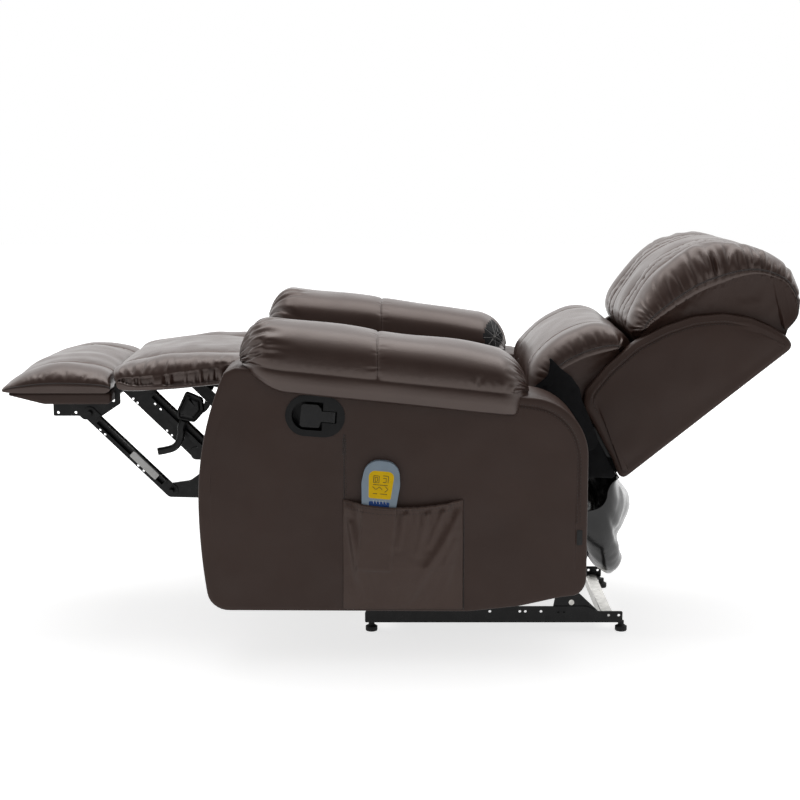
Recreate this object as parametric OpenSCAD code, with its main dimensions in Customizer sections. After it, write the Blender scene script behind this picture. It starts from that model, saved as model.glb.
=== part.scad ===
// Reclining massage armchair, shown fully reclined with the footrest out.
// X runs from the footrest (-) to the head (+), Y across the seat, Z up from the floor.

/* [Overall] */
// Half of the clear width between the two arm boxes
seat_half = 262; // [258:1:275]
// Width of one arm box
arm_w = 170; // [150:1:190]
// Gap between an arm box and the pads beside it
pad_gap = 12; // [10:1:22]
// Gap left round every soft piece
soft_gap = 0.4; // [0.3:0.1:1]

/* [Arm box] */
// Front of the arm box at its fullest
arm_front_x = -403; // [-415:1:-395]
// Rear of the arm box
arm_rear_x = 375; // [360:1:385]
// Underside of the arm box
arm_base_z = 116; // [105:1:125]
// Top of the arm box at the front, under the arm pad
arm_top_front_z = 613; // [600:1:620]
// Top of the arm box at the rear, under the arm pad
arm_top_rear_z = 553; // [540:1:560]
// Radius of the bowed front edge
arm_front_r = 655; // [620:5:700]
// Radius of the front edge below its fullest point
arm_low_r = 1200; // [900:10:1500]
// Radius of the rear top corner
arm_rear_r = 120; // [90:1:130]
// Thickness of the padded cover on the arm box
cover_t = 10; // [6:1:14]
// Thickness of the boards in the arm frame
arm_board_t = 18; // [12:1:22]
// Width of the boards in the arm frame
arm_board_w = 26; // [20:1:28]

/* [Arm pad] */
// Half width of the arm pad
arm_pad_half = 100; // [94:1:104]
// Overhang of the arm pad on the seat side
arm_pad_over = 6; // [3:1:10]
// Front end of the arm pad
arm_pad_front_x = -318; // [-326:1:-305]
// Rear end of the arm pad
arm_pad_rear_x = 258; // [240:1:266]
// Height of the arm pad at the front
arm_pad_h = 97; // [80:1:110]
// Drop of the arm pad's outer lip
arm_pad_lip = 36; // [15:1:45]
// Seam across the arm pad
arm_seam_x = -44; // [-80:1:0]

/* [Base] */
// Front end of the floor rails
rail_front_x = -76; // [-90:1:-60]
// Rear end of the floor rails
rail_rear_x = 483; // [470:1:500]
// Underside of the floor rails
rail_z = 22; // [18:1:24]
// Height of the floor rails
rail_h = 36; // [34:1:40]
// Height of the low rear end of the floor rails
rail_tail_h = 25; // [22:1:28]
// Inset of the floor rails from the arm boxes
rail_inset = 70; // [64:1:76]
// Width of the floor rails' foot flange
rail_flange_w = 32; // [26:1:36]
// Sheet thickness of the floor rails
rail_t = 3; // [2:0.5:4]
// Radius of the feet
foot_r = 13; // [10:1:16]
// Sheet thickness of the gussets
gusset_t = 3; // [2:0.5:4]

/* [Glide linkage] */
// Rear lower pivot
rear_pivot_x = 372; // [366:1:378]
// Front lower pivot
front_pivot_x = 40; // [30:1:55]
// Height of the lower pivots
glide_pivot_z = 66; // [64:1:70]
// Length of the swing links between pivots
glide_len = 90; // [86:1:96]
// Forward lean of the swing links when reclined
glide_lean = 30; // [26:1:34]
// Thickness of the swing links
swing_t = 6; // [4:0.5:8]
// Radius of the lower pivot pins
pivot_r = 6; // [5:0.5:7]
// Radius of the carrier tubes
carrier_r = 10; // [9:0.5:12]
// Radial clearance of a pin in its bore
pin_fit = 0.05; // [0.03:0.01:0.1]

/* [Seat frame] */
// Front of the seat frame
seat_front_x = -264; // [-268:1:-262]
// Top of the seat frame at its front
seat_front_z = 495; // [490:1:500]
// Rearward slope of the seat
seat_slope = 10.5; // [9:0.5:11.5]
// Length of the seat frame along the slope
seat_len = 562; // [550:1:570]
// Height of the side rails
seat_rail_h = 60; // [54:1:62]
// Height of the front and rear rails
seat_cross_h = 45; // [38:1:48]
// Thickness of the seat frame's wood
seat_wood_t = 22; // [18:1:24]
// Thickness of the mechanism plates
plate_t = 4; // [3:0.5:5]
// Thickness of the felt deck
deck_t = 8; // [6:1:10]
// Thickness of the spring wire
wire_t = 4; // [3:0.5:5]
// Number of zigzag springs
spring_count = 4; // [3:1:5]
// Swing of a zigzag spring to each side
spring_swing = 34; // [26:1:38]
// Bends along a zigzag spring
spring_waves = 10; // [7:1:12]
// Thickness of the seat cushion at the front
seat_pad_front = 96; // [90:1:104]
// Thickness of the seat cushion at the rear
seat_pad_rear = 44; // [40:1:48]

/* [Back] */
// Rise of the back's rear face when reclined
back_angle = 38.9; // [37:0.1:41]
// Lower rear corner of the back, along X
back_x = 468; // [464:1:472]
// Lower rear corner of the back, above the floor
back_z = 356; // [352:1:362]
// Height of the back frame
back_len = 425; // [415:1:435]
// Depth of the back frame
back_depth = 112; // [104:1:118]
// Thickness of the rear panel
back_panel_t = 8; // [5:1:12]
// Inset of the back frame from the arm boxes
back_inset = 40; // [36:1:44]
// Thickness of the back frame's wood
back_wood_t = 22; // [18:1:24]
// Recline pivot below the back frame
recline_s = -53; // [-56:1:-50]
// Recline pivot in front of the rear face
recline_t = 138; // [134:1:142]
// Thickness of the hinge brackets
bracket_t = 5; // [4:0.5:6]
// Thickness of the webbing
web_t = 2; // [1.5:0.5:3]
// Width of a webbing strap
web_w = 40; // [30:1:50]
// Thickness of the heating pad
heat_t = 3; // [2:0.5:4]
// Radius of a vibration motor
motor_r = 30; // [26:1:34]
// Height of a vibration motor
motor_h = 20; // [16:1:24]

/* [Footrest linkage] */
// Pivot of the footrest arms, along X
arm_pivot_x = -250; // [-253:1:-247]
// Pivot of the footrest arms, above the floor
arm_pivot_z = 415; // [411:1:418]
// Lower knee pivot, along X
knee_x = -486; // [-490:1:-482]
// Lower knee pivot, above the floor
knee_z = 319; // [316:1:322]
// Bracket pivot of the long links, along X
toe_x = -656; // [-660:1:-652]
// Bracket pivot of the long links, above the floor
toe_z = 486; // [483:1:488]
// Offset of the parallel links behind the long links
link_dx = 117; // [114:1:120]
// Offset of the parallel links above the long links
link_dz = 55; // [53:1:56]
// Inset of the footrest plates from the arm boxes
link_inset = 55; // [54:1:58]
// Thickness of the footrest plates
link_t = 5; // [4:0.5:5.5]
// Depth of the channel links
channel_d = 20; // [16:1:21]
// Width of the channel links
channel_w = 27; // [26:1:34]
// Radius of the torque tube between the footrest arms
torque_r = 11; // [9:0.5:13]

/* [Ottoman and calf pad] */
// Front tip of the ottoman cushion
otto_front_x = -836; // [-845:1:-825]
// Rear end of the ottoman board
otto_rear_x = -606; // [-609:1:-604]
// Underside of the ottoman board
otto_board_z = 510; // [508:1:512]
// Thickness of the ottoman board with its cover
otto_board_t = 23.6; // [20:0.1:24]
// Crown of the ottoman cushion above its board
otto_crown = 55; // [48:1:62]
// Nose of the calf pad
calf_front_x = -603; // [-606:1:-600]
// Underside of the calf pad
calf_z = 557; // [556:0.5:559]
// Thickness of the calf pad
calf_t = 50; // [44:1:56]

/* [Handle] */
// Centre of the release handle, along X
handle_x = -168; // [-172:1:-164]
// Centre of the release handle, above the floor
handle_z = 516; // [510:1:518]
// Length of the handle bezel
bezel_len = 118; // [112:1:122]
// Height of the handle bezel
bezel_h = 82; // [76:1:84]
// Depth of the handle cup
cup_depth = 34; // [28:1:40]
// Length of the handle paddle
paddle_len = 42; // [38:1:44]
// Height of the handle paddle
paddle_h = 46; // [42:1:48]
// Tilt of the handle
handle_tilt = 4; // [0:1:6]

/* [Pocket and remote] */
// Front edge of the pocket
pocket_front_x = -114; // [-120:1:-110]
// Rear edge of the pocket
pocket_rear_x = 126; // [120:1:132]
// Top edge of the pocket
pocket_top_z = 349; // [344:1:354]
// Sag of the pocket's top edge
pocket_sag = 14; // [8:1:18]
// Bulge of the pocket
pocket_bulge = 20.7; // [20:0.1:22]
// Thickness of the pocket cloth
pocket_t = 2.4; // [2:0.1:3]
// Length of the remote control
remote_len = 176; // [165:1:185]
// Width of the remote control at its head
remote_w = 77; // [72:1:80]
// Thickness of the remote control
remote_t = 16; // [14:0.5:16.5]
// Tilt of the remote control
remote_tilt = 5; // [3:1:7]
// Top of the remote control
remote_top_z = 428; // [420:1:434]
// Middle of the remote control's head
remote_x = -34; // [-40:1:-28]
// Radius of a key on the remote control
key_r = 6; // [5:0.5:7]
// Travel of a key
key_travel = 0.8; // [0.5:0.1:1]

/* [Hidden] */
$fn = 48;

leather = [0.2, 0.14, 0.13];
steel = [0.08, 0.08, 0.09];
zinc = [0.6, 0.6, 0.62];
timber = [0.72, 0.56, 0.38];
cloth = [0.05, 0.05, 0.06];
plastic = [0.07, 0.07, 0.08];
touch = 0.02;   // how far a cut runs past the face it opens

// ---- shared geometry ----
function dir(a) = [cos(a), sin(a)];
function unit(v) = v / norm(v);
function xz(p) = [p[0], p[1]];
function mix(a, b, k) = a + (b - a) * k;

// Points of a corner at b, rounded with radius r and left sharp where r is 0.
function corner_arc(a, b, c, r, n) = r <= 0 ? [b] :
    let (u = unit(a - b), v = unit(c - b), half = acos(u * v) / 2,
        o = b + unit(u + v) * (r / sin(half)),
        s = b + u * (r / tan(half)) - o, e = b + v * (r / tan(half)) - o,
        way = s.x * e.y - s.y * e.x > 0 ? 1 : -1, a0 = atan2(s.y, s.x))
    [for (i = [0:n]) o + r * dir(a0 + way * (180 - 2 * half) * i / n)];

// Outline through corners given as [x, z, radius].
function rounded(c, n = 5) = [for (i = [0:len(c) - 1])
    each corner_arc(xz(c[(i + len(c) - 1) % len(c)]), xz(c[i]), xz(c[(i + 1) % len(c)]), c[i][2], n)];

// Closed smooth curve through control points, n steps for each.
function smooth(c, n) = let (m = len(c)) [for (i = [0:m - 1], k = [0:n - 1])
    let (a = c[(i + m - 1) % m], b = c[i], d = c[(i + 1) % m], e = c[(i + 2) % m], u = k / n)
    (2 * b + (d - a) * u + (2 * a - 5 * b + 4 * d - e) * u * u
        + (3 * b - a - 3 * d + e) * u * u * u) / 2];

// Sheet lying in the side view, from y to y + t.
module side(y, t) {
    translate([0, y + t, 0]) rotate([90, 0, 0]) linear_extrude(t) children();
}
// The same sheet on both sides of the chair, between y and y + t from the middle.
module sides(y, t) {
    side(y, t) children();
    side(-y - t, t) children();
}
// Round bar across the chair at a point of the side view.
module across(p, r, y0, y1) {
    translate([p.x, y1, p.y]) rotate([90, 0, 0]) cylinder(r = r, h = y1 - y0);
}
// A pair of such bars, between y0 and y1 from the middle.
module pair(p, r, y0, y1) {
    across(p, r, y0, y1);
    across(p, r, -y1, -y0);
}
// Straight link outline between two points.
module link_shape(a, b, r) {
    t = atan2(b.y - a.y, b.x - a.x);
    polygon(concat([for (k = [-90:15:90]) b + r * dir(t + k)], [for (k = [90:15:270]) a + r * dir(t + k)]));
}

// Closed skin over rings of points, with a middle point at each end. Rings that run the other way are turned.
module skin(rings, turned = false) {
    n = len(rings[0]);
    m = len(rings);
    points = concat([for (r = rings) each r],
        [[for (k = [0:2]) sum_of(rings[0], k) / n], [for (k = [0:2]) sum_of(rings[m - 1], k) / n]]);
    walls = [for (j = [0:m - 2], i = [0:n - 1]) let (a = j * n + i, b = j * n + (i + 1) % n)
        each [[a, b, a + n], [b, b + n, a + n]]];
    first = [for (i = [0:n - 1]) [m * n, (i + 1) % n, i]];
    last = [for (i = [0:n - 1]) [m * n + 1, (m - 1) * n + i, (m - 1) * n + (i + 1) % n]];
    faces = concat(walls, first, last);
    polyhedron(points, turned ? [for (f = faces) [f[2], f[1], f[0]]] : faces);
}
function sum_of(r, k, i = 0) = i == len(r) ? 0 : r[i][k] + sum_of(r, k, i + 1);

// How far a stuffed edge is drawn in: 0 in the middle, 1 at the end of the cushion.
function draw(y, from, to) = let (k = min(1, max(0, (abs(y) - from) / (to - from))))
    1 - sqrt(max(0, 1 - k * k));
// Depth of sewn channels at y.
function channel(y, seams, depth, width) =
    depth * max([for (s = seams) max(0, 1 - abs(abs(y) - s) / width)]);
// Stations across a cushion: the middle, each seam and the drawn edge.
function half_stations(half, edge, under, seams, width) = concat(
    [for (s = seams) each [s - width, s, s + width]],
    under > half - 8 ? [for (k = [0:4]) half - edge * (1 - sin(22.5 * k))]
        : [half - edge, mix(half - edge, under, 0.55), under, mix(under, half, 0.65), half]);
function stations(h) = concat([for (i = [len(h) - 1:-1:0]) -h[i]], [0], h);

// A stuffed cushion. Each profile point is [x, z, x at the ends, z at the ends, 1 if it is underneath].
function cushion_rings(p, half, edge, under, seams, depth, width, steps) =
    [for (y = stations(half_stations(half, edge, under, seams, width)))
        let (over = draw(y, half - edge, half), low = draw(y, under - edge, under),
            g = channel(y, seams, depth, width),
            mid = [sum_of(p, 0) / len(p), sum_of(p, 1) / len(p)],
            c = [for (q = p) let (k = q[4] == 1 ? low : over, w = mix([q[0], q[1]], [q[2], q[3]], k))
                w - (q[4] == 1 ? [0, 0] : unit([q[0], q[1]] - mid) * g)])
        [for (w = smooth(c, steps)) [w.x, y, w.y]]];

module cushion(p, half, edge, under, seams, depth, width, turned = true, steps = 2) {
    skin(cushion_rings(p, half, edge, under, seams, depth, width, steps), turned);
}

// ---- places ----
seat_deg = seat_slope;
module in_seat() { translate([seat_front_x, 0, seat_front_z]) rotate([0, seat_deg, 0]) children(); }
function seat_to_row(p) = [seat_front_x, seat_front_z]
    + [p.x * cos(seat_deg) + p.y * sin(seat_deg), p.y * cos(seat_deg) - p.x * sin(seat_deg)];
module in_back() { translate([back_x, 0, back_z]) rotate([0, -back_angle, 0]) children(); }
function back_to_row(p) = [back_x, back_z]
    + [p.x * cos(back_angle) - p.y * sin(back_angle), p.x * sin(back_angle) + p.y * cos(back_angle)];

rear_low = [rear_pivot_x, glide_pivot_z];
front_low = [front_pivot_x, glide_pivot_z];
swing = glide_len * [-sin(glide_lean), cos(glide_lean)];
rear_top = rear_low + swing;
front_top = front_low + swing;
recline = back_to_row([recline_s, recline_t]);
hip = [arm_pivot_x, arm_pivot_z];
knee = [knee_x, knee_z];
toe = [toe_x, toe_z];
link_off = [link_dx, link_dz];
calf_low = knee + link_off;
calf_high = toe + link_off;

arm_out = seat_half + arm_w;              // outer face of the side panels
pad_half = seat_half - pad_gap;           // half width of the pads between the arms
rail_y = seat_half - rail_inset;          // outer face of the floor rails
back_frame_y = seat_half - back_inset;    // outer face of the back frame
link_y = seat_half - link_inset;          // inner face of the footrest plates
plate_y = seat_half - seat_wood_t - plate_t;    // inner face of the mechanism plates
web_inner = rail_y - rail_t;              // inner face of the floor rails' web
gusset_y = web_inner - gusset_t;
foot_stem_z = rail_z;

// ---- base ----
foot_y = rail_y - rail_flange_w / 2;
foot_front_x = rail_front_x + 14;
foot_rear_x = rail_rear_x - 1;
rail_holes = [195, 260, 272, 306, 343, 356];
rail_hole_r = 3;

module rail_side() {
    polygon(rounded([[rail_front_x, rail_z, 3], [rail_rear_x, rail_z, 3],
        [rail_rear_x, rail_z + rail_tail_h, 3], [rail_rear_x - 52, rail_z + rail_tail_h, 20],
        [rail_rear_x - 78, rail_z + rail_h, 14], [rail_front_x + 16, rail_z + rail_h, 8],
        [rail_front_x, rail_z + rail_h - 12, 8]]));
}
module base_rails() {
    color(steel) for (m = [0, 1]) mirror([0, m, 0]) difference() {
        union() {
            side(web_inner, rail_t) rail_side();
            translate([rail_front_x + 3, rail_y - rail_flange_w, rail_z])
                cube([rail_rear_x - rail_front_x - 6, rail_flange_w, rail_t]);
        }
        for (x = rail_holes) across([x, rail_z + rail_h * 0.68], rail_hole_r, web_inner - 1, rail_y + 1);
        for (x = [rail_rear_x - 8, rail_rear_x - 30]) across([x, rail_z + 16], rail_hole_r, web_inner - 1, rail_y + 1);
    }
}

bar_w = 34;
bar_rear_x = rail_rear_x - 48;
bar_front_x = rail_front_x + 26;
module cross_bar(x, h) {
    z = rail_z + rail_t;
    translate([x, -web_inner, z]) cube([bar_w, 2 * web_inner, rail_t]);
    translate([x, -web_inner, z]) cube([rail_t, 2 * web_inner, h]);
}
module base_cross_bars() {
    color(zinc) {
        cross_bar(bar_rear_x, rail_tail_h - rail_t - 2);
        cross_bar(bar_front_x, rail_tail_h - rail_t - 2);
    }
}

gusset_z = rail_z + rail_t;
module gusset_shape(p) {
    difference() {
        polygon(rounded([[p.x - 46, gusset_z, 2], [p.x - 34, p.y + 20, 8], [p.x + 17, p.y + 20, 6],
            [p.x + 58, rail_z + rail_tail_h, 6], [p.x + 58, gusset_z, 2]]));
        translate(p) circle(pivot_r);
    }
}
module base_gussets() {
    color(steel) {
        sides(gusset_y, gusset_t) gusset_shape(rear_low);
        sides(gusset_y, gusset_t) gusset_shape(front_low);
    }
}

swing_y = gusset_y - 4 - swing_t;         // inner face of the swing links
pin_head = 3;
module base_pivot_pins() {
    color(zinc) for (p = [rear_low, front_low]) {
        pair(p, pivot_r, swing_y - 0.3, web_inner);
        pair(p, pivot_r + 3, swing_y - 0.3 - pin_head, swing_y - 0.3);
        pair(p, pivot_r + 3, swing_y + swing_t + 0.3, gusset_y);
    }
}

module base_feet() {
    color(plastic) for (x = [foot_front_x, foot_rear_x], s = [-1, 1]) translate([x, s * foot_y, 0]) {
        cylinder(r1 = foot_r - 1, r2 = foot_r, h = 2);
        translate([0, 0, 2]) cylinder(r = foot_r, h = 8);
        translate([0, 0, 10]) cylinder(r1 = foot_r, r2 = foot_r / 2, h = 4);
        translate([0, 0, 14]) cylinder(r = foot_r / 2, h = foot_stem_z - 14);
    }
}

bolt_head_r = 5;
bolt_head_h = 3;
gusset_bolts = [for (p = [rear_low, front_low], dx = [-30, 40]) [p.x + dx, gusset_z + 10]];
module base_bolts() {
    color(zinc) for (p = gusset_bolts) pair(p, bolt_head_r, gusset_y - bolt_head_h, gusset_y);
}

// ---- glide linkage ----
link_r = 14;
module swing_link(low, top) {
    color(steel) {
        difference() {
            union() {
                sides(swing_y, swing_t) link_shape(low, top, link_r);
                across((low + top) / 2, 8, -swing_y - 1, swing_y + 1);
            }
            pair(low, pivot_r + pin_fit, swing_y - 1, swing_y + swing_t + 1);
            pair(top, carrier_r + pin_fit, swing_y - 1, swing_y + swing_t + 1);
        }
    }
}
module rear_swing_link() { swing_link(rear_low, rear_top); }
module front_swing_link() { swing_link(front_low, front_top); }

// ---- chassis ----
stretcher = rear_top + [16, 120];
stretcher_r = 8;
module carrier_tubes() {
    color(steel) {
        across(rear_top, carrier_r, -plate_y, plate_y);
        across(front_top, carrier_r, -plate_y, plate_y);
        across(stretcher, stretcher_r, -plate_y, plate_y);
    }
}

plate_rim = 24;
module plate_shape() {
    polygon(rounded([[hip.x - 12, hip.y - 16, 12], [hip.x - 12, hip.y + 55, 8],
        concat(seat_to_row([470, -6]), [10]),
        [recline.x - 30, recline.y + 22, 16], [recline.x + 20, recline.y + 20, 18],
        [recline.x + 24, recline.y - 60, 20],
        [rear_top.x + 26, rear_top.y + 110, 20], [rear_top.x + 22, rear_top.y - 16, 14],
        [rear_top.x - 22, rear_top.y - 16, 14], [rear_top.x - 40, rear_top.y + 130, 20],
        [front_top.x + 60, front_top.y + 150, 20], [front_top.x + 20, front_top.y - 16, 12],
        [front_top.x - 20, front_top.y - 16, 12], [front_top.x - 50, front_top.y + 165, 30],
        [hip.x + 40, hip.y - 40, 14]]));
}
arm_bolt_r = 4;
arm_bolt_at = [for (p = [160, seat_len - 82]) seat_to_row([p, -seat_rail_h / 2])];
cable_end = hip + [66, 42];
cable_r = 3;
module mechanism_plates() {
    color(steel) difference() {
        sides(plate_y, plate_t) plate_shape();
        for (p = arm_bolt_at) pair(p, arm_bolt_r, plate_y - 1, plate_y + plate_t + 1);
        pair(hip, pivot_r, plate_y - 1, plate_y + plate_t + 1);
        pair(recline, pivot_r, plate_y - 1, plate_y + plate_t + 1);
        across(latch_pivot, latch_pin_r, -plate_y - plate_t - 1, -plate_y + 1);
        across(cable_end, cable_r + 1, -plate_y - plate_t - 1, -plate_y + 1);
    }
}

back_bracket_y = back_frame_y;
module chassis_pins() {
    color(zinc) {
        pair(hip, pivot_r, link_y - 0.3, plate_y + plate_t);
        pair(hip, pivot_r + 4, link_y + link_t + 0.3, plate_y);
        pair(hip, pivot_r + 3, link_y - 0.3 - pin_head, link_y - 0.3);
        pair(recline, pivot_r, back_bracket_y - 0.3, plate_y + plate_t);
        pair(recline, pivot_r + 4, back_bracket_y + bracket_t + 0.3, plate_y);
        pair(recline, pivot_r + 3, back_bracket_y - 0.3 - pin_head, back_bracket_y - 0.3);
        across(latch_pivot, latch_pin_r, -plate_y - plate_t, -link_y);
    }
}

bolt_in = arm_board_t - 2;
module arm_bolts() {
    color(zinc) for (p = arm_bolt_at) {
        pair(p, arm_bolt_r, plate_y, seat_half + cover_t + bolt_in);
        pair(p, arm_bolt_r + 3.5, plate_y - 4, plate_y);
    }
}
module arm_bolt_holes(y0, y1) {
    for (p = arm_bolt_at) pair(p, arm_bolt_r, y0, y1);
}

module seat_frame() {
    color(timber) difference() {
        union() {
            in_seat() for (s = [-1, 1]) translate([0, s > 0 ? seat_half - seat_wood_t : -seat_half, -seat_rail_h])
                cube([seat_len, seat_wood_t, seat_rail_h]);
            in_seat() for (x = [0, seat_len - seat_wood_t])
                translate([x, -plate_y, -seat_cross_h]) cube([seat_wood_t, 2 * plate_y, seat_cross_h]);
        }
        arm_bolt_holes(plate_y, seat_half + 1);
        across(cable_end, cable_r + 1, -seat_half - 1, -plate_y);
    }
}

spring_run = seat_len - 2 * seat_wood_t;
spring_pitch = 2 * plate_y / (spring_count + 1);
function wave(x) = spring_swing * sin(360 * spring_waves * x / spring_run);
spring_steps = 12 * spring_waves;
function wave_side(k) = [for (i = [0:spring_steps]) let (x = spring_run * i / spring_steps,
    slope = spring_swing * 2 * PI * spring_waves / spring_run * cos(360 * spring_waves * x / spring_run),
    n = unit([-slope, 1])) [min(spring_run, max(0, x + k * n.x)), wave(x) + k * n.y]];
module seat_springs() {
    outer = wave_side(wire_t / 2);
    inner = wave_side(-wire_t / 2);
    color(zinc) in_seat() for (i = [1:spring_count])
        translate([seat_wood_t, -plate_y + i * spring_pitch, -wire_t]) linear_extrude(wire_t)
            polygon(concat(outer, [for (j = [len(inner) - 1:-1:0]) inner[j]]));
}

module seat_deck() {
    color(cloth) in_seat() translate([0, -plate_y, 0]) cube([seat_len - seat_wood_t, 2 * plate_y, deck_t]);
}

seat_seams = [150];
seam_depth = 7;
seam_width = 16;
module seat_cushion() {
    b = deck_t + soft_gap;
    f = seat_pad_front;
    r = seat_pad_rear;
    color(leather) in_seat() cushion([[466, b + 1.2, 462, b + 3, 1], [250, b, 250, b + 2, 1], [20, b, 20, b + 2, 1],
        [-26, b + 2, -20, b + 5, 1], [-40, 30, -32, 34, 0], [-45, 66, -36, 60, 0], [-42, f - 8, -30, f - 32, 0],
        [0, f, 0, f - 26, 0], [60, f - 8, 60, f - 32, 0], [150, f - 26, 150, f - 48, 0],
        [255, r + 18, 255, r, 0], [360, r + 8, 360, r - 8, 0], [440, r, 436, r - 14, 0],
        [472, r - 10, 466, r - 20, 0], [478, b + 8, 470, b + 6, 0]],
        pad_half, 60, pad_half, seat_seams, seam_depth, seam_width);
}

module motor(x, y, z) {
    translate([x, y, z]) {
        cylinder(r = motor_r, h = motor_h - 5);
        translate([0, 0, motor_h - 5]) cylinder(r = motor_r + 4, h = 5);
    }
}
seat_motor_p = 320;
module seat_motors() {
    color(plastic) in_seat() for (s = [-1, 1]) motor(seat_motor_p, s * spring_pitch, -wire_t - motor_h);
}

box_size = [64, 120, 30];
module control_box() {
    color(plastic) in_seat()
        translate([seat_len - seat_wood_t - box_size.x, -box_size.y / 2, -wire_t - 4 - box_size.z]) cube(box_size);
}

inlet_z = 232;
inlet_r = 9;
module power_inlet() {
    y = -arm_out + 34;
    color(plastic) translate([arm_rear_x, y, inlet_z]) rotate([0, 90, 0]) difference() {
        union() {
            cylinder(r = inlet_r + 5, h = 3);
            translate([0, 0, -cover_t]) cylinder(r = inlet_r, h = cover_t);
        }
        translate([0, 0, -cover_t + 2]) cylinder(r = inlet_r - 3, h = cover_t + 4);
    }
}

// ---- release cable: sheath from the handle cup to the latch ----
cable_y0 = -arm_out + cup_depth + 2;
cable_route = [[handle_x + 18, cable_y0, handle_z - 11], [handle_x + 17, cable_y0 + 12, handle_z - 12],
    [handle_x + 10, cable_y0 + 35, handle_z - 22], [cable_end.x + 6, -seat_half - 55, cable_end.y + 14],
    [cable_end.x, -seat_half - 25, cable_end.y + 2], [cable_end.x, -seat_half, cable_end.y],
    [cable_end.x, -plate_y, cable_end.y], [cable_end.x, -plate_y + 22, cable_end.y]];
cable_sides = 10;
function cable_ring(i) = let (n = len(cable_route), a = cable_route[max(0, i - 1)],
    b = cable_route[min(n - 1, i + 1)], t = i == 0 || i >= n - 3 ? [0, 1, 0] : unit(b - a),
    u = unit(cross(t, [0, 0, 1])), v = cross(u, t))
    [for (k = [0:cable_sides - 1]) cable_route[i] + cable_r * (u * cos(360 * k / cable_sides) + v * sin(360 * k / cable_sides))];
module release_cable() {
    color(plastic) skin([for (i = [0:len(cable_route) - 1]) cable_ring(i)]);
}

// ---- arms ----
arm_mid_z = 340;
function arm_front(z, i) = let (r = z > arm_mid_z ? arm_front_r : arm_low_r)
    arm_front_x + r - sqrt(pow(r - i, 2) - pow(z - arm_mid_z, 2));
function arm_top(x) = mix(arm_top_front_z, arm_top_rear_z, (x - arm_pad_front_x) / (arm_rear_x - arm_rear_r - arm_pad_front_x));
function arm_outline(i) = concat(
    [for (k = [0:8]) let (z = mix(arm_base_z + 46, arm_top_front_z - 12 - i, k / 8)) [arm_front(z, i), z]],
    [[arm_pad_front_x - 8 + i, arm_top_front_z - i], [arm_rear_x - arm_rear_r, arm_top_rear_z - i]],
    [for (a = [75:-15:0]) [arm_rear_x - arm_rear_r, arm_top_rear_z - arm_rear_r] + (arm_rear_r - i) * dir(a)],
    [[arm_rear_x - i, arm_base_z + 70]],
    [for (a = [0:-20:-60]) [arm_rear_x - 40, arm_base_z + 68] + (40 - i) * dir(a)],
    [[arm_rear_x - 54, arm_base_z + 29 + i], [arm_rear_x - 134, arm_base_z + 11 + i],
        [arm_rear_x - 236, arm_base_z + i], [arm_front_x + 80, arm_base_z + 2 + i]],
    [for (a = [270:-18:198]) [arm_front(arm_base_z + 46, 0) + 44, arm_base_z + 46] + (44 - i) * dir(a)]);

module arm_frame(s) {
    y_in = seat_half + cover_t;
    y_out = arm_out - cover_t;
    i = cover_t;
    color(timber) mirror([0, s, 0]) difference() {
        union() {
            side(y_in, arm_board_t) ladder(i, true);
            side(y_out - arm_board_t, arm_board_t) ladder(i, false);
            side(y_in + arm_board_t, y_out - y_in - 2 * arm_board_t) {
                for (p = [[arm_front(arm_mid_z, i) + 6, arm_mid_z], [arm_rear_x - i - arm_board_w + 4, arm_mid_z - 60]])
                    translate(p) square([arm_board_w - 8, 60]);
                translate([-40, arm_base_z + i + 5]) square([70, arm_board_w - 8]);
            }
        }
        for (p = arm_bolt_at) across(p, arm_bolt_r, y_in - 1, y_in + bolt_in);
        if (s > 0) {
            across(cable_end + [0, 1], cable_r + 2, y_in - 1, y_in + arm_board_t + 1);
        }
    }
}
module ladder(i, cross) {
    difference() {
        polygon(arm_outline(i));
        polygon(arm_outline(i + arm_board_w));
    }
    if (cross) intersection() {
        polygon(arm_outline(i + 7));
        polygon([for (p = [[-200, 0], [700, 0], [700, -seat_rail_h], [-200, -seat_rail_h]]) seat_to_row(p)]);
    }
}
module left_arm_frame() { arm_frame(1); }
module right_arm_frame() { arm_frame(0); }

// Cover over the front, top, rear, bottom and seat side of the arm frame.
module arm_cover(s) {
    depth = arm_w - cover_t;
    color(leather) difference() {
        mirror([0, s, 0]) difference() {
            side(seat_half, depth) polygon(arm_outline(0));
            side(seat_half + cover_t, depth) polygon(arm_outline(cover_t));
            for (p = arm_bolt_at) across(p, arm_bolt_r, seat_half - 1, seat_half + cover_t + 1);
            if (s > 0) across(cable_end + [0, 0.5], cable_r + 1.5, seat_half - 1, seat_half + cover_t + 1);
        }
        if (s > 0) translate([arm_rear_x - cover_t - 1, -arm_out + 34, inlet_z]) rotate([0, 90, 0])
            cylinder(r = inlet_r, h = cover_t + 2);
    }
}
module left_arm_cover() { arm_cover(1); }
module right_arm_cover() { arm_cover(0); }

cup_len = bezel_len - 20;
cup_h = bezel_h - 20;
module in_handle() { translate([handle_x, -arm_out, handle_z]) rotate([0, handle_tilt, 0]) children(); }
// Stadium outline along X, extruded towards the outside of the left arm.
module stadium(l, h, y0, y1) {
    translate([0, y1, 0]) rotate([90, 0, 0]) linear_extrude(y1 - y0) {
        square([l - h, h], center = true);
        for (s = [-1, 1]) translate([s * (l - h) / 2, 0]) circle(h / 2);
    }
}
module side_panel(s) {
    color(leather) difference() {
        mirror([0, s, 0]) side(arm_out - cover_t, cover_t) polygon(arm_outline(0));
        if (s > 0) in_handle() stadium(cup_len + 1, cup_h + 1, -1, cover_t + 1);
    }
}
module left_side_panel() { side_panel(1); }
module right_side_panel() { side_panel(0); }

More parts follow.
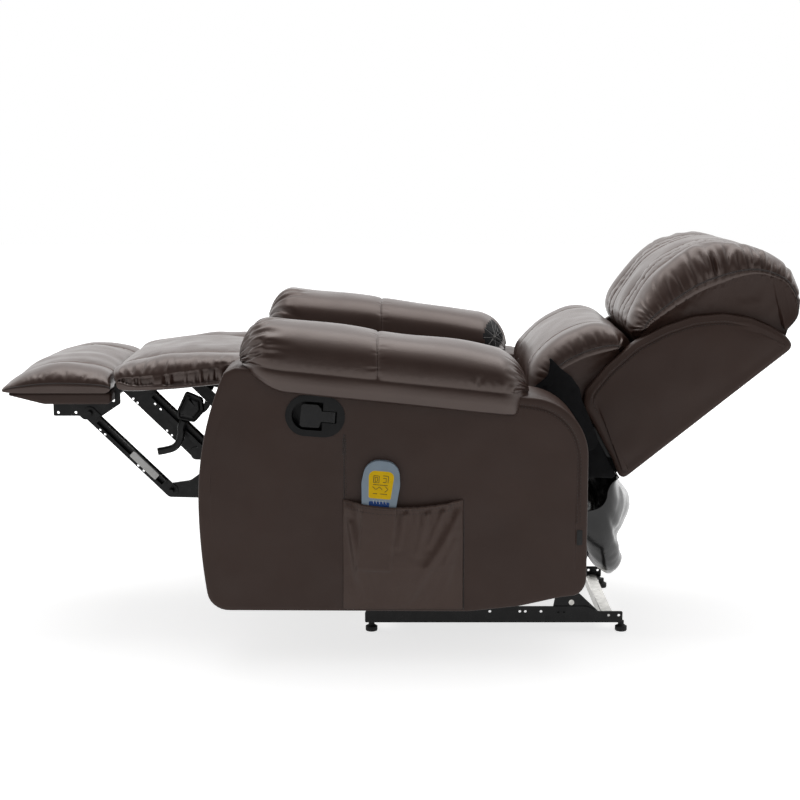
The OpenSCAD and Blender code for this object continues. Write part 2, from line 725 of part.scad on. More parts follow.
// Arm pad: sections across the arm, from front to rear, drawn in at both ends.
arm_pad_y = seat_half - arm_pad_over + arm_pad_half;
arm_pad_end = 66;
function arm_pad_section(x) =
    let (in = min(x - arm_pad_front_x, arm_pad_rear_x - x),
        k = sqrt(max(0.02, 1 - pow(max(0, 1 - in / arm_pad_end), 2))),
        seam = 1 - 0.03 * max(0, 1 - abs(x - arm_seam_x) / 14),
        u = (x - arm_pad_front_x) / (arm_pad_rear_x - arm_pad_front_x),
        h = (mix(arm_pad_h - 2, arm_pad_h - 18, u) + 6 * sin(180 * u)) * seam,
        w = arm_pad_half, lip = arm_pad_lip * max(0, min(1, (in - 38) / 52)), z0 = arm_top(x) + soft_gap,
        face = min(arm_out - arm_pad_y + soft_gap, k * w - 4), c = [0, 26 * k])
    [for (p = [[1 - w * k, 9 * k], [8 - w * k, 1], [0, 0], [face, 0], [face, -lip], [mix(face, w * k, 0.6), -lip - min(3, lip)],
        [w * k, -lip * 0.5]]) [x, arm_pad_y + p.x, z0 + p.y],
        for (p = [[w, 26], [w * 0.9, h * 0.64], [w * 0.62, h * 0.89], [w * 0.22, h], [-w * 0.22, h],
        [-w * 0.62, h * 0.89], [-w * 0.9, h * 0.64], [-w, 28]])
        let (q = [p.x * k, p.y * k]) [x, arm_pad_y + q.x, z0 + q.y]];
function arm_pad_stations() = concat(
    [for (a = [8:16:72]) arm_pad_front_x + arm_pad_end * (1 - cos(a))],
    [for (x = [arm_seam_x - 140, arm_seam_x - 70, arm_seam_x - 16, arm_seam_x, arm_seam_x + 16, arm_seam_x + 80,
        arm_seam_x + 160]) x],
    [for (a = [80:-16:8]) arm_pad_rear_x - arm_pad_end * (1 - cos(a))]);
module arm_pad(s) {
    color(leather) mirror([0, s, 0]) skin([for (x = arm_pad_stations()) arm_pad_section(x)], true);
}
module left_arm_pad() { arm_pad(1); }
module right_arm_pad() { arm_pad(0); }

// ---- pocket ----
pocket_cols = 12;
pocket_rows = 8;
pocket_low_z = arm_base_z + 6;
function pocket_point(u, v, out) =
    let (x = mix(pocket_front_x, pocket_rear_x, u), edge = sin(180 * u),
        top = pocket_top_z - pocket_sag * edge, z = mix(pocket_low_z, top, v),
        fill = min(1, edge * 2.4) * min(1, v * 2.4) * pocket_bulge,
        fold = 1.2 * sin(360 * (4 * u + 1.5 * v)) * edge * (1 - v) * min(1, v * 4))
    [x, -arm_out - soft_gap - max(0, fill + fold) - (out ? pocket_t : 0), z];
module side_pocket() {
    front = [for (j = [0:pocket_rows], i = [0:pocket_cols]) pocket_point(i / pocket_cols, j / pocket_rows, true)];
    back = [for (j = [0:pocket_rows], i = [0:pocket_cols]) pocket_point(i / pocket_cols, j / pocket_rows, false)];
    c = pocket_cols + 1;
    m = len(front);
    cells = [for (j = [0:pocket_rows - 1], i = [0:pocket_cols - 1]) j * c + i];
    last = pocket_rows * c;
    color(leather) polyhedron(concat(front, back), concat(
        [for (a = cells) each [[a, a + c, a + 1], [a + 1, a + c, a + c + 1]]],
        [for (a = cells) each [[m + a, m + a + 1, m + a + c], [m + a + 1, m + a + c + 1, m + a + c]]],
        [for (i = [0:pocket_cols - 1]) each [[i, i + 1, m + i], [i + 1, m + i + 1, m + i]]],
        [for (i = [0:pocket_cols - 1]) let (a = last + i) each [[a, m + a, a + 1], [a + 1, m + a, m + a + 1]]],
        [for (j = [0:pocket_rows - 1]) let (a = j * c) each [[a, m + a, a + c], [a + c, m + a, m + a + c]]],
        [for (j = [0:pocket_rows - 1]) let (a = j * c + pocket_cols) each [[a, a + c, m + a], [a + c, m + a + c, m + a]]]));
}

// ---- handle ----
bezel_t = 3;
bezel_rim = 5;
cup_wall = 2.5;
paddle_t = 5;
hinge_x = 36;
hinge_r = 2;
knuckle_r = 5;
knuckle_y = 1;          // hinge axis outside the side panel
tongue_h = 21;
paddle_x = hinge_x - 24 - paddle_len;
module handle_bezel() {
    color(plastic) in_handle() {
        difference() {
            union() {
                stadium(bezel_len, bezel_h, -bezel_t, 0);
                stadium(cup_len, cup_h, -bezel_t, cup_depth);
            }
            stadium(cup_len - 2 * cup_wall, cup_h - 2 * cup_wall, -bezel_t - 1, cup_depth - cup_wall);
        }
        difference() {
            intersection() {
                stadium(cup_len - cup_wall, cup_h - cup_wall, -bezel_t, cup_depth - cup_wall);
                translate([paddle_x + paddle_len + 3, -bezel_t, -cup_h]) cube([cup_len, bezel_t + 8, 2 * cup_h]);
            }
            translate([paddle_x, -bezel_t - 1, -tongue_h / 2 - 1.5])
                cube([hinge_x - paddle_x + knuckle_r + 2, bezel_t + 12, tongue_h + 3]);
        }
        translate([hinge_x, knuckle_y, -cup_h / 2 + cup_wall + 3]) cylinder(r = hinge_r, h = cup_h - 2 * cup_wall - 6);
    }
}
module release_handle() {
    color([0.12, 0.12, 0.13]) in_handle() difference() {
        union() {
            translate([0, knuckle_y + 2, 0]) rotate([90, 0, 0]) linear_extrude(paddle_t)
                polygon(rounded([[paddle_x, -paddle_h / 2, 6], [paddle_x + paddle_len - 3, -paddle_h / 2, 4],
                    [paddle_x + paddle_len, -tongue_h / 2, 1], [hinge_x, -tongue_h / 2, 0],
                    [hinge_x, tongue_h / 2, 0], [paddle_x + paddle_len, tongue_h / 2, 1],
                    [paddle_x + paddle_len, paddle_h / 2 - 8, 6], [paddle_x + paddle_len - 8, paddle_h / 2, 4],
                    [paddle_x + 2, paddle_h / 2, 6]]));
            translate([hinge_x, knuckle_y, -tongue_h / 2]) cylinder(r = knuckle_r, h = tongue_h);
            translate([paddle_x + 3, knuckle_y + 2, -paddle_h / 2 + 6]) cube([3, 12, paddle_h - 12]);
        }
        translate([hinge_x, knuckle_y, -tongue_h]) cylinder(r = hinge_r + pin_fit, h = 2 * tongue_h);
    }
}

// ---- latch ----
cam_r = 30;
latch_pin_r = 3.5;
latch_pivot = hip + [46, 22];
latch_r = 9;
module latch_hook() {
    y = -link_y - link_t;
    nose = hip + (cam_r + 1) * dir(62);
    color(steel) difference() {
        side(y, link_t) {
            polygon(rounded([concat(latch_pivot + [9, -6], [4]), concat(latch_pivot + [22, 24], [4]),
                concat(latch_pivot + [10, 30], [4]), concat(latch_pivot + [-8, 10], [4]), concat(nose + [4, 12], [4]),
                concat(nose + [-5, 8], [2]), concat(nose, [1]), concat(latch_pivot + [-8, -8], [4])]));
            translate(latch_pivot) circle(latch_r);
        }
        across(latch_pivot, latch_pin_r + pin_fit, y - 1, y + link_t + 1);
    }
}

// ---- rear flap: vinyl sling between the back's lower edge and the chassis ----
flap_half = plate_y - 6;
flap_t = 2;
flap_top = [back_x - 4, back_z - 5];
flap_foot = [stretcher.x + 9, stretcher.y];
flap_edge = [flap_top, [448, 338], [440, 322], [438, 308], [433, 297], [425, 289], [414, 284], [402, 281],
    [388, 278], [370, 273], flap_foot];
flap_mid = [flap_top, [487, 310], [508, 248], [501, 200], [489, 164], [496, 122], [476, 92], [452, 98],
    [420, 128], [388, 182], flap_foot];
flap_runs = 2;
flap_cols = 12;
function open_curve(c, n) = [for (i = [0:len(c) - 2], k = [0:n - 1])
    let (a = c[max(0, i - 1)], b = c[i], d = c[i + 1], e = c[min(len(c) - 1, i + 2)], u = k / n)
    (2 * b + (d - a) * u + (2 * a - 5 * b + 4 * d - e) * u * u + (3 * b - a - 3 * d + e) * u * u * u) / 2];
function flap_path(y) = let (k = pow(cos(90 * y / flap_half), 0.6),
    c = [for (i = [0:len(flap_mid) - 1]) mix(flap_edge[i], flap_mid[i], k)])
    concat(open_curve(c, flap_runs), [c[len(c) - 1]]);
function flap_side(w, k) = let (n = len(w)) [for (i = [0:n - 1])
    let (t = unit(w[min(n - 1, i + 1)] - w[max(0, i - 1)])) w[i] + k * [t.y, -t.x]];
module rear_flap() {
    color(cloth) skin([for (j = [0:flap_cols])
        let (y = mix(-flap_half, flap_half, j / flap_cols), w = flap_path(y * 0.999),
            a = flap_side(w, flap_t / 2), b = flap_side(w, -flap_t / 2))
        [for (q = concat(a, [for (i = [len(b) - 1:-1:0]) b[i]])) [q.x, y, q.y]]]);
}

// ---- remote control ----
remote_y = -arm_out - soft_gap - remote_t;
remote_foot_w = remote_w * 0.68;
module in_remote() {
    translate([remote_x, remote_y, remote_top_z]) rotate([0, remote_tilt, 0]) children();
}
module remote_face(i) {
    polygon(rounded([[-remote_foot_w / 2 + i, -remote_len + i, 16], [remote_foot_w / 2 - i, -remote_len + i, 16],
        [remote_w / 2 - i, -46, 40], [remote_w / 2 - 6 - i, -i, 30], [-remote_w / 2 + 6 + i, -i, 30],
        [-remote_w / 2 + i, -46, 40]]));
}
key_at = [[-12, -112], [12, -112], [-12, -134], [12, -134]];
well_depth = 3;
module remote_body() {
    color([0.55, 0.63, 0.72]) in_remote() difference() {
        side(0, remote_t) remote_face(0);
        side(-1, 1 + label_t) remote_window(label_hole);
        side(-1, 1 + label_t) remote_window(keypad_hole);
        for (k = key_at) across(k, key_r + 0.4, -1, well_depth);
    }
}
label_t = 1;
label_hole = [[-22, -76, 4], [22, -76, 4], [26, -20, 12], [-26, -20, 12]];
keypad_hole = [[-19, -98, 3], [19, -98, 3], [21, -82, 3], [-21, -82, 3]];
module remote_window(c) { polygon(rounded(c)); }
module remote_label() { color([0.95, 0.8, 0.05]) in_remote() side(0, label_t) remote_window(label_hole); }
module remote_keypad() { color([0.05, 0.2, 0.5]) in_remote() side(0, label_t) remote_window(keypad_hole); }
module key(i) {
    color([0.85, 0.88, 0.92]) in_remote() across(key_at[i], key_r, -0.9, well_depth - key_travel - 0.4);
}
module power_key() { key(0); }
module mode_key() { key(1); }
module level_key() { key(2); }
module heat_key() { key(3); }

// ---- back ----
back_in = back_panel_t;
back_out = back_panel_t + back_depth;
wing_t = pad_half - back_frame_y;
module back_frame() {
    color(timber) in_back() {
        sides(back_frame_y - back_wood_t, back_wood_t) translate([0, back_in]) square([back_len, back_depth]);
        for (s = [0, back_len * 0.47, back_len - back_wood_t])
            translate([s, -back_frame_y + back_wood_t, back_in]) cube([back_wood_t, 2 * (back_frame_y - back_wood_t), back_depth]);
    }
}
module bracket_shape(grow) {
    polygon(rounded([[recline_s - 16 - grow, recline_t + 16 + grow, 14], [recline_s + 18 + grow, recline_t + 16 + grow, 14],
        [30, 108 + grow, 10], [104 + grow, 104 + grow, 8], [104 + grow, 40 - grow, 8], [10, 40 - grow, 12],
        [recline_s - 16 - grow, recline_t - 20 - grow, 14]]));
}
module back_brackets() {
    color(steel) in_back() difference() {
        sides(back_bracket_y, bracket_t) bracket_shape(0);
        pair([recline_s, recline_t], pivot_r + pin_fit, back_bracket_y - 1, back_bracket_y + bracket_t + 1);
    }
}
strap_at = [for (k = [0.104, 0.245, 0.386, 0.617, 0.777]) k * back_len];
module back_webbing() {
    color(cloth) in_back() for (s = strap_at)
        translate([s, -back_frame_y, back_out]) cube([web_w, 2 * back_frame_y, web_t]);
}
module back_panel() {
    color(leather) in_back() translate([0, -back_frame_y, 0]) cube([back_len, 2 * back_frame_y, back_panel_t]);
}
wing_top = 448;
module wing_shape() {
    polygon(concat(rounded([[wing_top, -7, 8], [-7, -6, 12], [6, 40, 60], [24, 140, 60], [30, 184, 20]], 4),
        [[64, 194], [117, 206], [195, 210], [261, 197], [322, 175], [376, 139], [413, 98], [434, 58], [wing_top, 20]]));
}
module wing(s) {
    color(leather) in_back() mirror([0, s, 0]) difference() {
        side(back_frame_y, wing_t) wing_shape();
        side(back_frame_y - 1, bracket_t + 1.3) bracket_shape(1);
    }
}
module left_wing() { wing(1); }
module right_wing() { wing(0); }

pillow_low = back_out + web_t + heat_t + soft_gap;
back_seams = [60, 150];
module lumbar_pillow() {
    b = pillow_low + 0.6;
    color(leather) in_back() cushion([[182, b + 6, 168, 214, 1], [168, b + 0.3, 150, 211, 1], [60, b, 60, 202, 1], [8, b + 8, 22, 200, 1],
        [-26, 176, -4, 210, 1], [-42, 224, -8, 228, 0], [-34, 274, 0, 246, 0], [-6, 303, 20, 256, 0],
        [47, 311, 46, 258, 0], [99, 307, 88, 250, 0], [141, 296, 120, 238, 0], [174, 270, 146, 226, 0],
        [190, 230, 160, 219, 0], [190, 175, 170, 216, 1]],
        pad_half - 5, 50, back_frame_y - 1, back_seams, seam_depth, seam_width);
}
module headrest_pillow() {
    b = back_out + web_t + soft_gap + 0.4;
    e = back_len + soft_gap + 1;
    color(leather) in_back() cushion([[203, b + 8, 238, 213, 1], [216, b, 250, 209, 1], [320, b, 322, 184, 1], [e - 14, b + 4, 428, 125, 1],
        [e + 5, b - 4, 443, 102, 1], [e + 2, 44, 455, 44, 1], [456, 28, 456, 34, 0], [494, 36, 490, 42, 0],
        [526, 66, 510, 72, 0], [543, 115, 514, 108, 0], [537, 156, 502, 135, 0], [517, 194, 482, 160, 0],
        [493, 230, 453, 178, 0], [455, 263, 413, 193, 0], [402, 286, 370, 206, 0], [338, 291, 320, 213, 0],
        [276, 276, 270, 217, 0], [226, 258, 244, 218, 0], [202, 230, 236, 216, 0], [199, 180, 234, 214, 1]],
        pad_half - 4, 56, back_frame_y - 1, back_seams, seam_depth, seam_width, turned = false);
}
lining_y = back_bracket_y + bracket_t + 0.3;
module back_lining() {
    color(cloth) in_back() {
        sides(lining_y, plate_y - lining_y - 0.5) polygon([[-60, 44], [-18, 6], [-8, 8], [-1, 40], [17, 140], [21, 190],
            [-12, 192], [-24, 165], [-22, 138], [-28, 90]]);
        translate([-6, -back_frame_y, back_in]) cube([6, 2 * back_frame_y, back_depth]);
    }
}
module back_motors() {
    color(plastic) in_back() for (s = [strap_at[1] + web_w / 2, strap_at[4] + web_w / 2], y = [-1, 1])
        motor(s, y * 70, back_out - motor_h);
}
module heating_pad() {
    color([0.25, 0.25, 0.27]) in_back() translate([50, -120, back_out + web_t]) cube([110, 240, heat_t]);
}

// ---- footrest ----
link_out = link_y + link_t + 1;           // inner face of the channel links
module footrest_arms() {
    color(steel) difference() {
        union() {
            sides(link_y, link_t) {
                translate(hip) circle(cam_r);
                polygon(rounded([concat(knee + [-12, -14], [12]), concat(knee + [-14, 14], [12]),
                    concat(knee + [40, 22], [20]), concat(calf_low + [-18, 10], [12]), concat(calf_low + [10, 18], [10]),
                    concat(hip + [-10, 26], [8]), concat(hip + [10, -26], [8]), concat(calf_low + [30, -34], [30]),
                    concat(knee + [70, -16], [20])]));
            }
            across((hip + calf_low) / 2 + [4, -8], torque_r, -link_y - 1, link_y + 1);
            for (p = [knee, calf_low]) {
                pair(p, pivot_r, link_y + 1, link_out + channel_d);
            }
        }
        pair(hip, pivot_r + pin_fit, link_y - 1, link_y + link_t + 1);
        pair(hip + (cam_r + 2) * dir(-43), 7, link_y - 1, link_y + link_t + 1);
    }
}

// Pressed channel link with a row of holes along its lower flange.
module channel_link(a, b, holes) {
    v = b - a;
    l = norm(v);
    web = 3;
    for (m = [0, 1]) mirror([0, m, 0]) difference() {
        union() {
            side(link_out, web) link_shape(a, b, channel_w / 2);
            translate([a.x, link_out + web - touch, a.y]) rotate([0, -atan2(v.y, v.x), 0])
                translate([22, 0, -4]) difference() {
                    cube([l - 44, channel_d - web, channel_w / 2 + 2]);
                    translate([web, web, web]) cube([l - 44 - 2 * web, channel_d, channel_w / 2 + 2 - 2 * web]);
                }
        }
        for (p = [a, b]) across(p, pivot_r + pin_fit, link_out - 1, link_out + web + 1);
        for (h = holes) across(a + unit(v) * h + [-v.y, v.x] / l * -10, 2.6, link_out - 1, link_out + web + 1);
    }
}
module long_links() { color(steel) channel_link(toe, knee, [40, 54, 150, 166]); }
module parallel_links() { color(steel) channel_link(calf_high, calf_low, [40, 56]); }

stop_y = plate_y + plate_t + 1;
stop_d = 12;
stop_foot = mix(calf_high, calf_low, 0.52);
module link_stops() {
    u = unit(calf_low - calf_high);
    n = [-u.y, u.x];
    color(steel) for (m = [0, 1]) mirror([0, m, 0]) {
        difference() {
            side(stop_y, stop_d) polygon(rounded([concat(stop_foot + [-16, 8], [3]), concat(stop_foot + [18, 66], [4]),
                concat(stop_foot + [52, 59], [4]), concat(stop_foot + [30, 2], [3])]));
            side(stop_y + 3, stop_d) polygon(rounded([concat(stop_foot + [-8, 14], [3]), concat(stop_foot + [6, 40], [3]),
                concat(stop_foot + [38, 36], [3]), concat(stop_foot + [26, 8], [3])]));
            across(stop_foot + [28, 52], 4, stop_y - 1, stop_y + stop_d + 1);
        }
        across(stop_foot - n * 10, 5, link_out + 3, stop_y + 1);
        side(stop_y, stop_d) polygon(rounded([concat(stop_foot + [-2, 10], [2]), concat(stop_foot + [16, 10], [2]),
            concat(stop_foot + [12, -18], [14]), concat(stop_foot + [-46, -62], [2]), concat(stop_foot + [-58, -52], [2]),
            concat(stop_foot + [-4, -14], [10])]));
    }
}

// ---- ottoman ----
bracket_low = otto_board_z - 30;
module ottoman_brackets() {
    n = calf_high;
    color(steel) {
        difference() {
            sides(link_y, link_t) {
                polygon(rounded([[toe.x - 77, otto_board_z, 2], [toe.x - 77, bracket_low, 3],
                    [toe.x - 22, bracket_low, 3], [toe.x - 14, toe.y - 14, 10], [toe.x + 14, toe.y - 14, 12],
                    [otto_rear_x + 3, otto_board_z - 12, 4], [otto_rear_x + 15, otto_board_z - 4, 4],
                    [otto_rear_x + 15, n.y - 9, 4], [n.x + 12, n.y - 11, 8],
                    [n.x + 12, n.y + 10, 8], [otto_rear_x + 3, n.y + 10, 6],
                    [otto_rear_x + 3, otto_board_z, 1]]));
                translate(n) circle(12);
            }
            for (x = [-67, -30]) pair([toe.x + x, bracket_low + 7], 3, link_y - 1, link_y + link_t + 1);
        }
        for (p = [toe, n]) pair(p, pivot_r, link_y + 1, link_out + 14);
        for (s = [-1, 1]) translate([toe.x - 70, s > 0 ? link_y - 22 : -link_y, otto_board_z - 3]) cube([110, 22, 3]);
    }
}
board_top = otto_board_z + otto_board_t;
module ottoman_board() {
    color(leather) side(-pad_half + 4, 2 * pad_half - 8) polygon(rounded([[otto_front_x + 17, board_top - 5, 2],
        [otto_front_x + 17, board_top, 2], [otto_rear_x, board_top, 4], [otto_rear_x, otto_board_z, 6],
        [otto_front_x + 90, otto_board_z, 40]]));
}
otto_seams = [150];
module ottoman_cushion() {
    b = board_top + soft_gap;
    h = otto_crown;
    f = otto_front_x;
    r = otto_rear_x;
    color(leather) cushion([[r - 2, b + 6, r - 2, b + 4, 1], [r - 8, b + 0.6, r - 8, b + 0.6, 1], [r - 18, b, r - 18, b, 1], [mix(f, r, 0.5), b, mix(f, r, 0.5), b, 1], [f + 40, b, f + 40, b, 1],
        [f + 8, b + 2, f + 11, b + 2, 0], [f, b + 10, f + 7, b + 8, 0], [f + 17, b + h * 0.42, f + 25, b + 14, 0],
        [f + 50, b + h * 0.74, f + 60, b + 24, 0], [f + 100, b + h * 0.96, f + 100, b + 29, 0],
        [f + 146, b + h, f + 146, b + 29, 0], [r - 40, b + h * 0.88, r - 40, b + 25, 0],
        [r - 10, b + h * 0.7, r - 10, b + 18, 0], [r, b + h * 0.4, r, b + 11, 0]],
        pad_half, 60, pad_half, otto_seams, seam_depth - 2, seam_width);
}
module ottoman_motor() {
    color(plastic) translate([(otto_front_x + otto_rear_x) / 2 + 30, 0, otto_board_z]) mirror([0, 0, 1]) {
        cylinder(r = motor_r + 4, h = 4);
        cylinder(r = motor_r, h = motor_h);
    }
}
calf_rear_x = seat_front_x - 38;
module calf_pad() {
    b = calf_z;
    t = calf_t;
    f = calf_front_x;
    r = calf_rear_x;
    color(leather) cushion([[r, b + 13, r, b + 3, 1], [r - 80, b + 6, r - 80, b - 5, 1], [f + 130, b, f + 130, b - 14, 1],
        [f + 52, b, f + 52, b - 18, 1], [f + 13, b + 4, f + 18, b - 15, 0], [f, b + 17, f + 12, b - 2, 0],
        [f + 9, b + t * 0.58, f + 20, b + 8, 0], [f + 52, b + t * 0.8, f + 52, b + 10, 0],
        [f + 112, b + t * 0.94, f + 112, b + 16, 0], [f + 182, b + t * 1.04, f + 182, b + 26, 0],
        [r - 54, b + t * 1.04, r - 54, b + 35, 0], [r - 8, b + t * 0.96, r - 4, b + 38, 0],
        [r, b + t * 0.6, r, b + 22, 0]],
        pad_half, 12, pad_half, otto_seams, seam_depth - 2, seam_width);
}

base_rails();
base_cross_bars();
base_gussets();
base_pivot_pins();
base_feet();
base_bolts();
rear_swing_link();
front_swing_link();
mechanism_plates();
carrier_tubes();
chassis_pins();
arm_bolts();
seat_frame();
seat_springs();
seat_deck();
seat_cushion();
seat_motors();
control_box();
power_inlet();
release_cable();
left_arm_frame();
right_arm_frame();
left_arm_cover();
right_arm_cover();
left_side_panel();
right_side_panel();
left_arm_pad();
right_arm_pad();
side_pocket();
handle_bezel();
rear_flap();
release_handle();
latch_hook();
remote_body();
remote_label();
remote_keypad();
power_key();
mode_key();
level_key();
heat_key();
back_frame();
back_brackets();
back_webbing();
back_panel();
left_wing();
right_wing();
lumbar_pillow();
headrest_pillow();
back_lining();
back_motors();
heating_pad();
footrest_arms();
long_links();
parallel_links();
link_stops();
ottoman_brackets();
ottoman_board();
ottoman_cushion();
ottoman_motor();
calf_pad();
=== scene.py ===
import bmesh
import bpy
import math
import numpy as np
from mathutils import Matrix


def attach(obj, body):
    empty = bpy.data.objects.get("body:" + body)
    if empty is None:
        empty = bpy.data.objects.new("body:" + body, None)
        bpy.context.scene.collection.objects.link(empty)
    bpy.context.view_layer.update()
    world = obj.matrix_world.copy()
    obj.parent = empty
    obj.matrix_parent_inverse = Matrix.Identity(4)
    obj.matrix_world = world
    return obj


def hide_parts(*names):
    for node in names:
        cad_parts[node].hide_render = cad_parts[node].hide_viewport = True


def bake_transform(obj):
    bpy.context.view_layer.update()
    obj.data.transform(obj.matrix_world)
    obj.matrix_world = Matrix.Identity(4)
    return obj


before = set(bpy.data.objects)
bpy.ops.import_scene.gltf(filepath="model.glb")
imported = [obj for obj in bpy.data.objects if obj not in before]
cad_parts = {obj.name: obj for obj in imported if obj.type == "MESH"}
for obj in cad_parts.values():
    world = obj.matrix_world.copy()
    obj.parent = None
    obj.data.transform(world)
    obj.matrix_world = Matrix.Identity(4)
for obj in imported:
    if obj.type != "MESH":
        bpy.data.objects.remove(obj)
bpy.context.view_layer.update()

# ---------------------------------------------------------------- camera, light, floor
scene = bpy.context.scene
scene.view_settings.view_transform = "Standard"
cam_data = bpy.data.cameras.new("camera")
cam = bpy.data.objects.new("camera", cam_data)
scene.collection.objects.link(cam)
cam.location = (0.0, -3.590, 1.040)
cam.rotation_euler = (math.radians(90 - 8.85), 0.0, 0.0)
cam_data.sensor_width = 36.0
cam_data.lens = 1618.0 / 800.0 * 36.0
cam_data.clip_end = 60.0
scene.camera = cam


def area(name, loc, target, size, power):
    """A soft lamp at loc, turned to target, that the camera doesn't see."""
    data = bpy.data.lights.new(name, "AREA")
    data.shape = "RECTANGLE"
    data.size, data.size_y = size
    data.energy = power
    ob = bpy.data.objects.new(name, data)
    scene.collection.objects.link(ob)
    ob.location = loc
    d = np.array(target, float) - np.array(loc, float)
    ob.rotation_euler = (math.atan2(math.hypot(d[0], d[1]), -d[2]), 0.0, math.atan2(d[0], -d[1]))
    ob.visible_camera = False
    return ob


area("softbox_top", (0.0, 0.45, 2.9), (0.0, 0.3, 0.0), (3.6, 1.8), 40.0)
area("softbox_back", (0.0, 2.9, 2.6), (0.0, 0.0, 0.6), (5.2, 2.9), 195.0)
area("softbox_front", (0.2, -3.4, 2.6), (0.0, 0.0, 0.4), (2.6, 1.6), 26.0)

def node_tools(owner):
    """Empties the node tree of a material or world, and gives a maker of nodes and a maker of links."""
    owner.use_nodes = True
    tree = owner.node_tree
    tree.nodes.clear()

    def new(kind, values=None, **settings):
        node = tree.nodes.new("ShaderNode" + kind)
        for key, value in settings.items():
            setattr(node, key, value)
        for key, value in (values or {}).items():
            node.inputs[key].default_value = value
        return node

    def link(a, out, b, socket):
        tree.links.new(a.outputs[out], b.inputs[socket])

    return new, link


# The world is white to the camera. Gloss sees a white sweep behind the chair and a darker hall in front of it.
world = bpy.data.worlds.new("studio")
scene.world = world
new, link = node_tools(world)
background = new("Background", {"Color": (1.0, 1.0, 1.0, 1.0)})
path, coord, axes = new("LightPath"), new("TexCoord"), new("SeparateXYZ")
sweep = new("MapRange", {"From Min": -0.75, "From Max": 0.55, "To Min": 0.10, "To Max": 1.4})
gloss = new("Mix", {2: 0.50}, data_type="FLOAT")
seen = new("Mix", {3: 1.0}, data_type="FLOAT")
direct = new("Math", operation="MAXIMUM")
link(coord, "Generated", axes, 0)
link(axes, "Y", sweep, "Value")
link(path, "Is Glossy Ray", gloss, 0)
link(sweep, "Result", gloss, 3)
link(path, "Is Camera Ray", direct, 0)
link(path, "Is Transmission Ray", direct, 1)
link(direct, 0, seen, 0)
link(gloss, 0, seen, 2)
link(seen, 0, background, "Strength")
link(background, 0, new("OutputWorld"), 0)


# ---------------------------------------------------------------- materials
def material(name, base, rough=(0.4, 0.5), metal=0.0, vary=0.12, vary_scale=9.0, bumps=(), specular=0.5,
             sheen=0.0, grain=None, coat=0.0, coat_rough=0.3, spots=None, tint=None):
    """Procedural finish: base colour varied by noise, roughness varied by noise, and layers of bump.
    bumps: (kind, scale, strength, distance[, stretch]). grain: (scale, stretch, dark colour) for wood.
    spots: (scale, where they start, colour)."""
    m = bpy.data.materials.new(name)
    new, link = node_tools(m)
    shader = new("BsdfPrincipled", {"Metallic": metal, "Specular IOR Level": specular})
    link(shader, 0, new("OutputMaterial"), 0)
    if tint:
        shader.inputs["Specular Tint"].default_value = (*tint, 1.0)
    if sheen:
        shader.inputs["Sheen Weight"].default_value = sheen
        shader.inputs["Sheen Roughness"].default_value = 0.5
    if coat:
        shader.inputs["Coat Weight"].default_value = coat
        shader.inputs["Coat Roughness"].default_value = coat_rough
    coord = new("TexCoord")

    def texture(kind, values, stretch=None, **settings):
        t = new(kind, values, **settings)
        if stretch:
            mapping = new("Mapping", {"Scale": stretch})
            link(coord, "Object", mapping, "Vector")
            link(mapping, 0, t, "Vector")
        else:
            link(coord, "Object", t, "Vector")
        return t

    def noise(scale, detail=3.0, roughness=0.55, stretch=None):
        return texture("TexNoise", {"Scale": scale, "Detail": detail, "Roughness": roughness}, stretch)

    def ramp(*stops):
        r = new("ValToRGB")
        for element, (position, colour) in zip(r.color_ramp.elements, stops):
            element.position = position
            if colour:
                element.color = (*colour, 1.0)
        return r

    dark = grain[2] if grain else [c * (1 - vary) for c in base]
    colour = ramp((0.3, dark), (0.72, [min(1.0, c * (1 + vary)) for c in base]))
    if grain:
        rings = {"Scale": grain[0], "Distortion": 5.0, "Detail": 3.0, "Detail Scale": 1.4}
        link(texture("TexWave", rings, grain[1], wave_type="BANDS"), "Fac", colour, 0)
    else:
        link(noise(vary_scale, 4.0), "Fac", colour, 0)
    if spots:
        where = ramp((spots[1], None), (spots[1] + 0.08, None))
        mixed = new("Mix", data_type="RGBA")
        mixed.inputs[7].default_value = (*spots[2], 1.0)
        link(noise(spots[0], 2.0), "Fac", where, 0)
        link(where, 0, mixed, 0)
        link(colour, 0, mixed, 6)
        link(mixed, 2, shader, "Base Color")
    else:
        link(colour, 0, shader, "Base Color")
    worn = new("MapRange", {"From Min": 0.3, "From Max": 0.7, "To Min": rough[0], "To Max": rough[1]})
    link(noise(vary_scale * 2.7), "Fac", worn, "Value")
    link(worn, 0, shader, "Roughness")
    last = None
    for kind, scale, strength, distance, *stretch in bumps:
        stretch = stretch[0] if stretch else None
        if kind == "noise":
            t, out = noise(scale, 3.0, 0.6, stretch), "Fac"
        elif kind == "cells":
            t = texture("TexVoronoi", {}, stretch, feature="SMOOTH_F1")
            t.inputs["Scale"].default_value = scale
            t.inputs["Smoothness"].default_value = 0.35
            out = "Distance"
        else:
            t = texture("TexWave", {"Scale": scale, "Distortion": 0.4}, stretch, wave_type="BANDS",
                        bands_direction=kind)
            out = "Fac"
        bump = new("Bump", {"Strength": strength, "Distance": distance})
        link(t, out, bump, "Height")
        if last:
            link(last, 0, bump, "Normal")
        last = bump
    if last:
        link(last, 0, shader, "Normal")
    return m


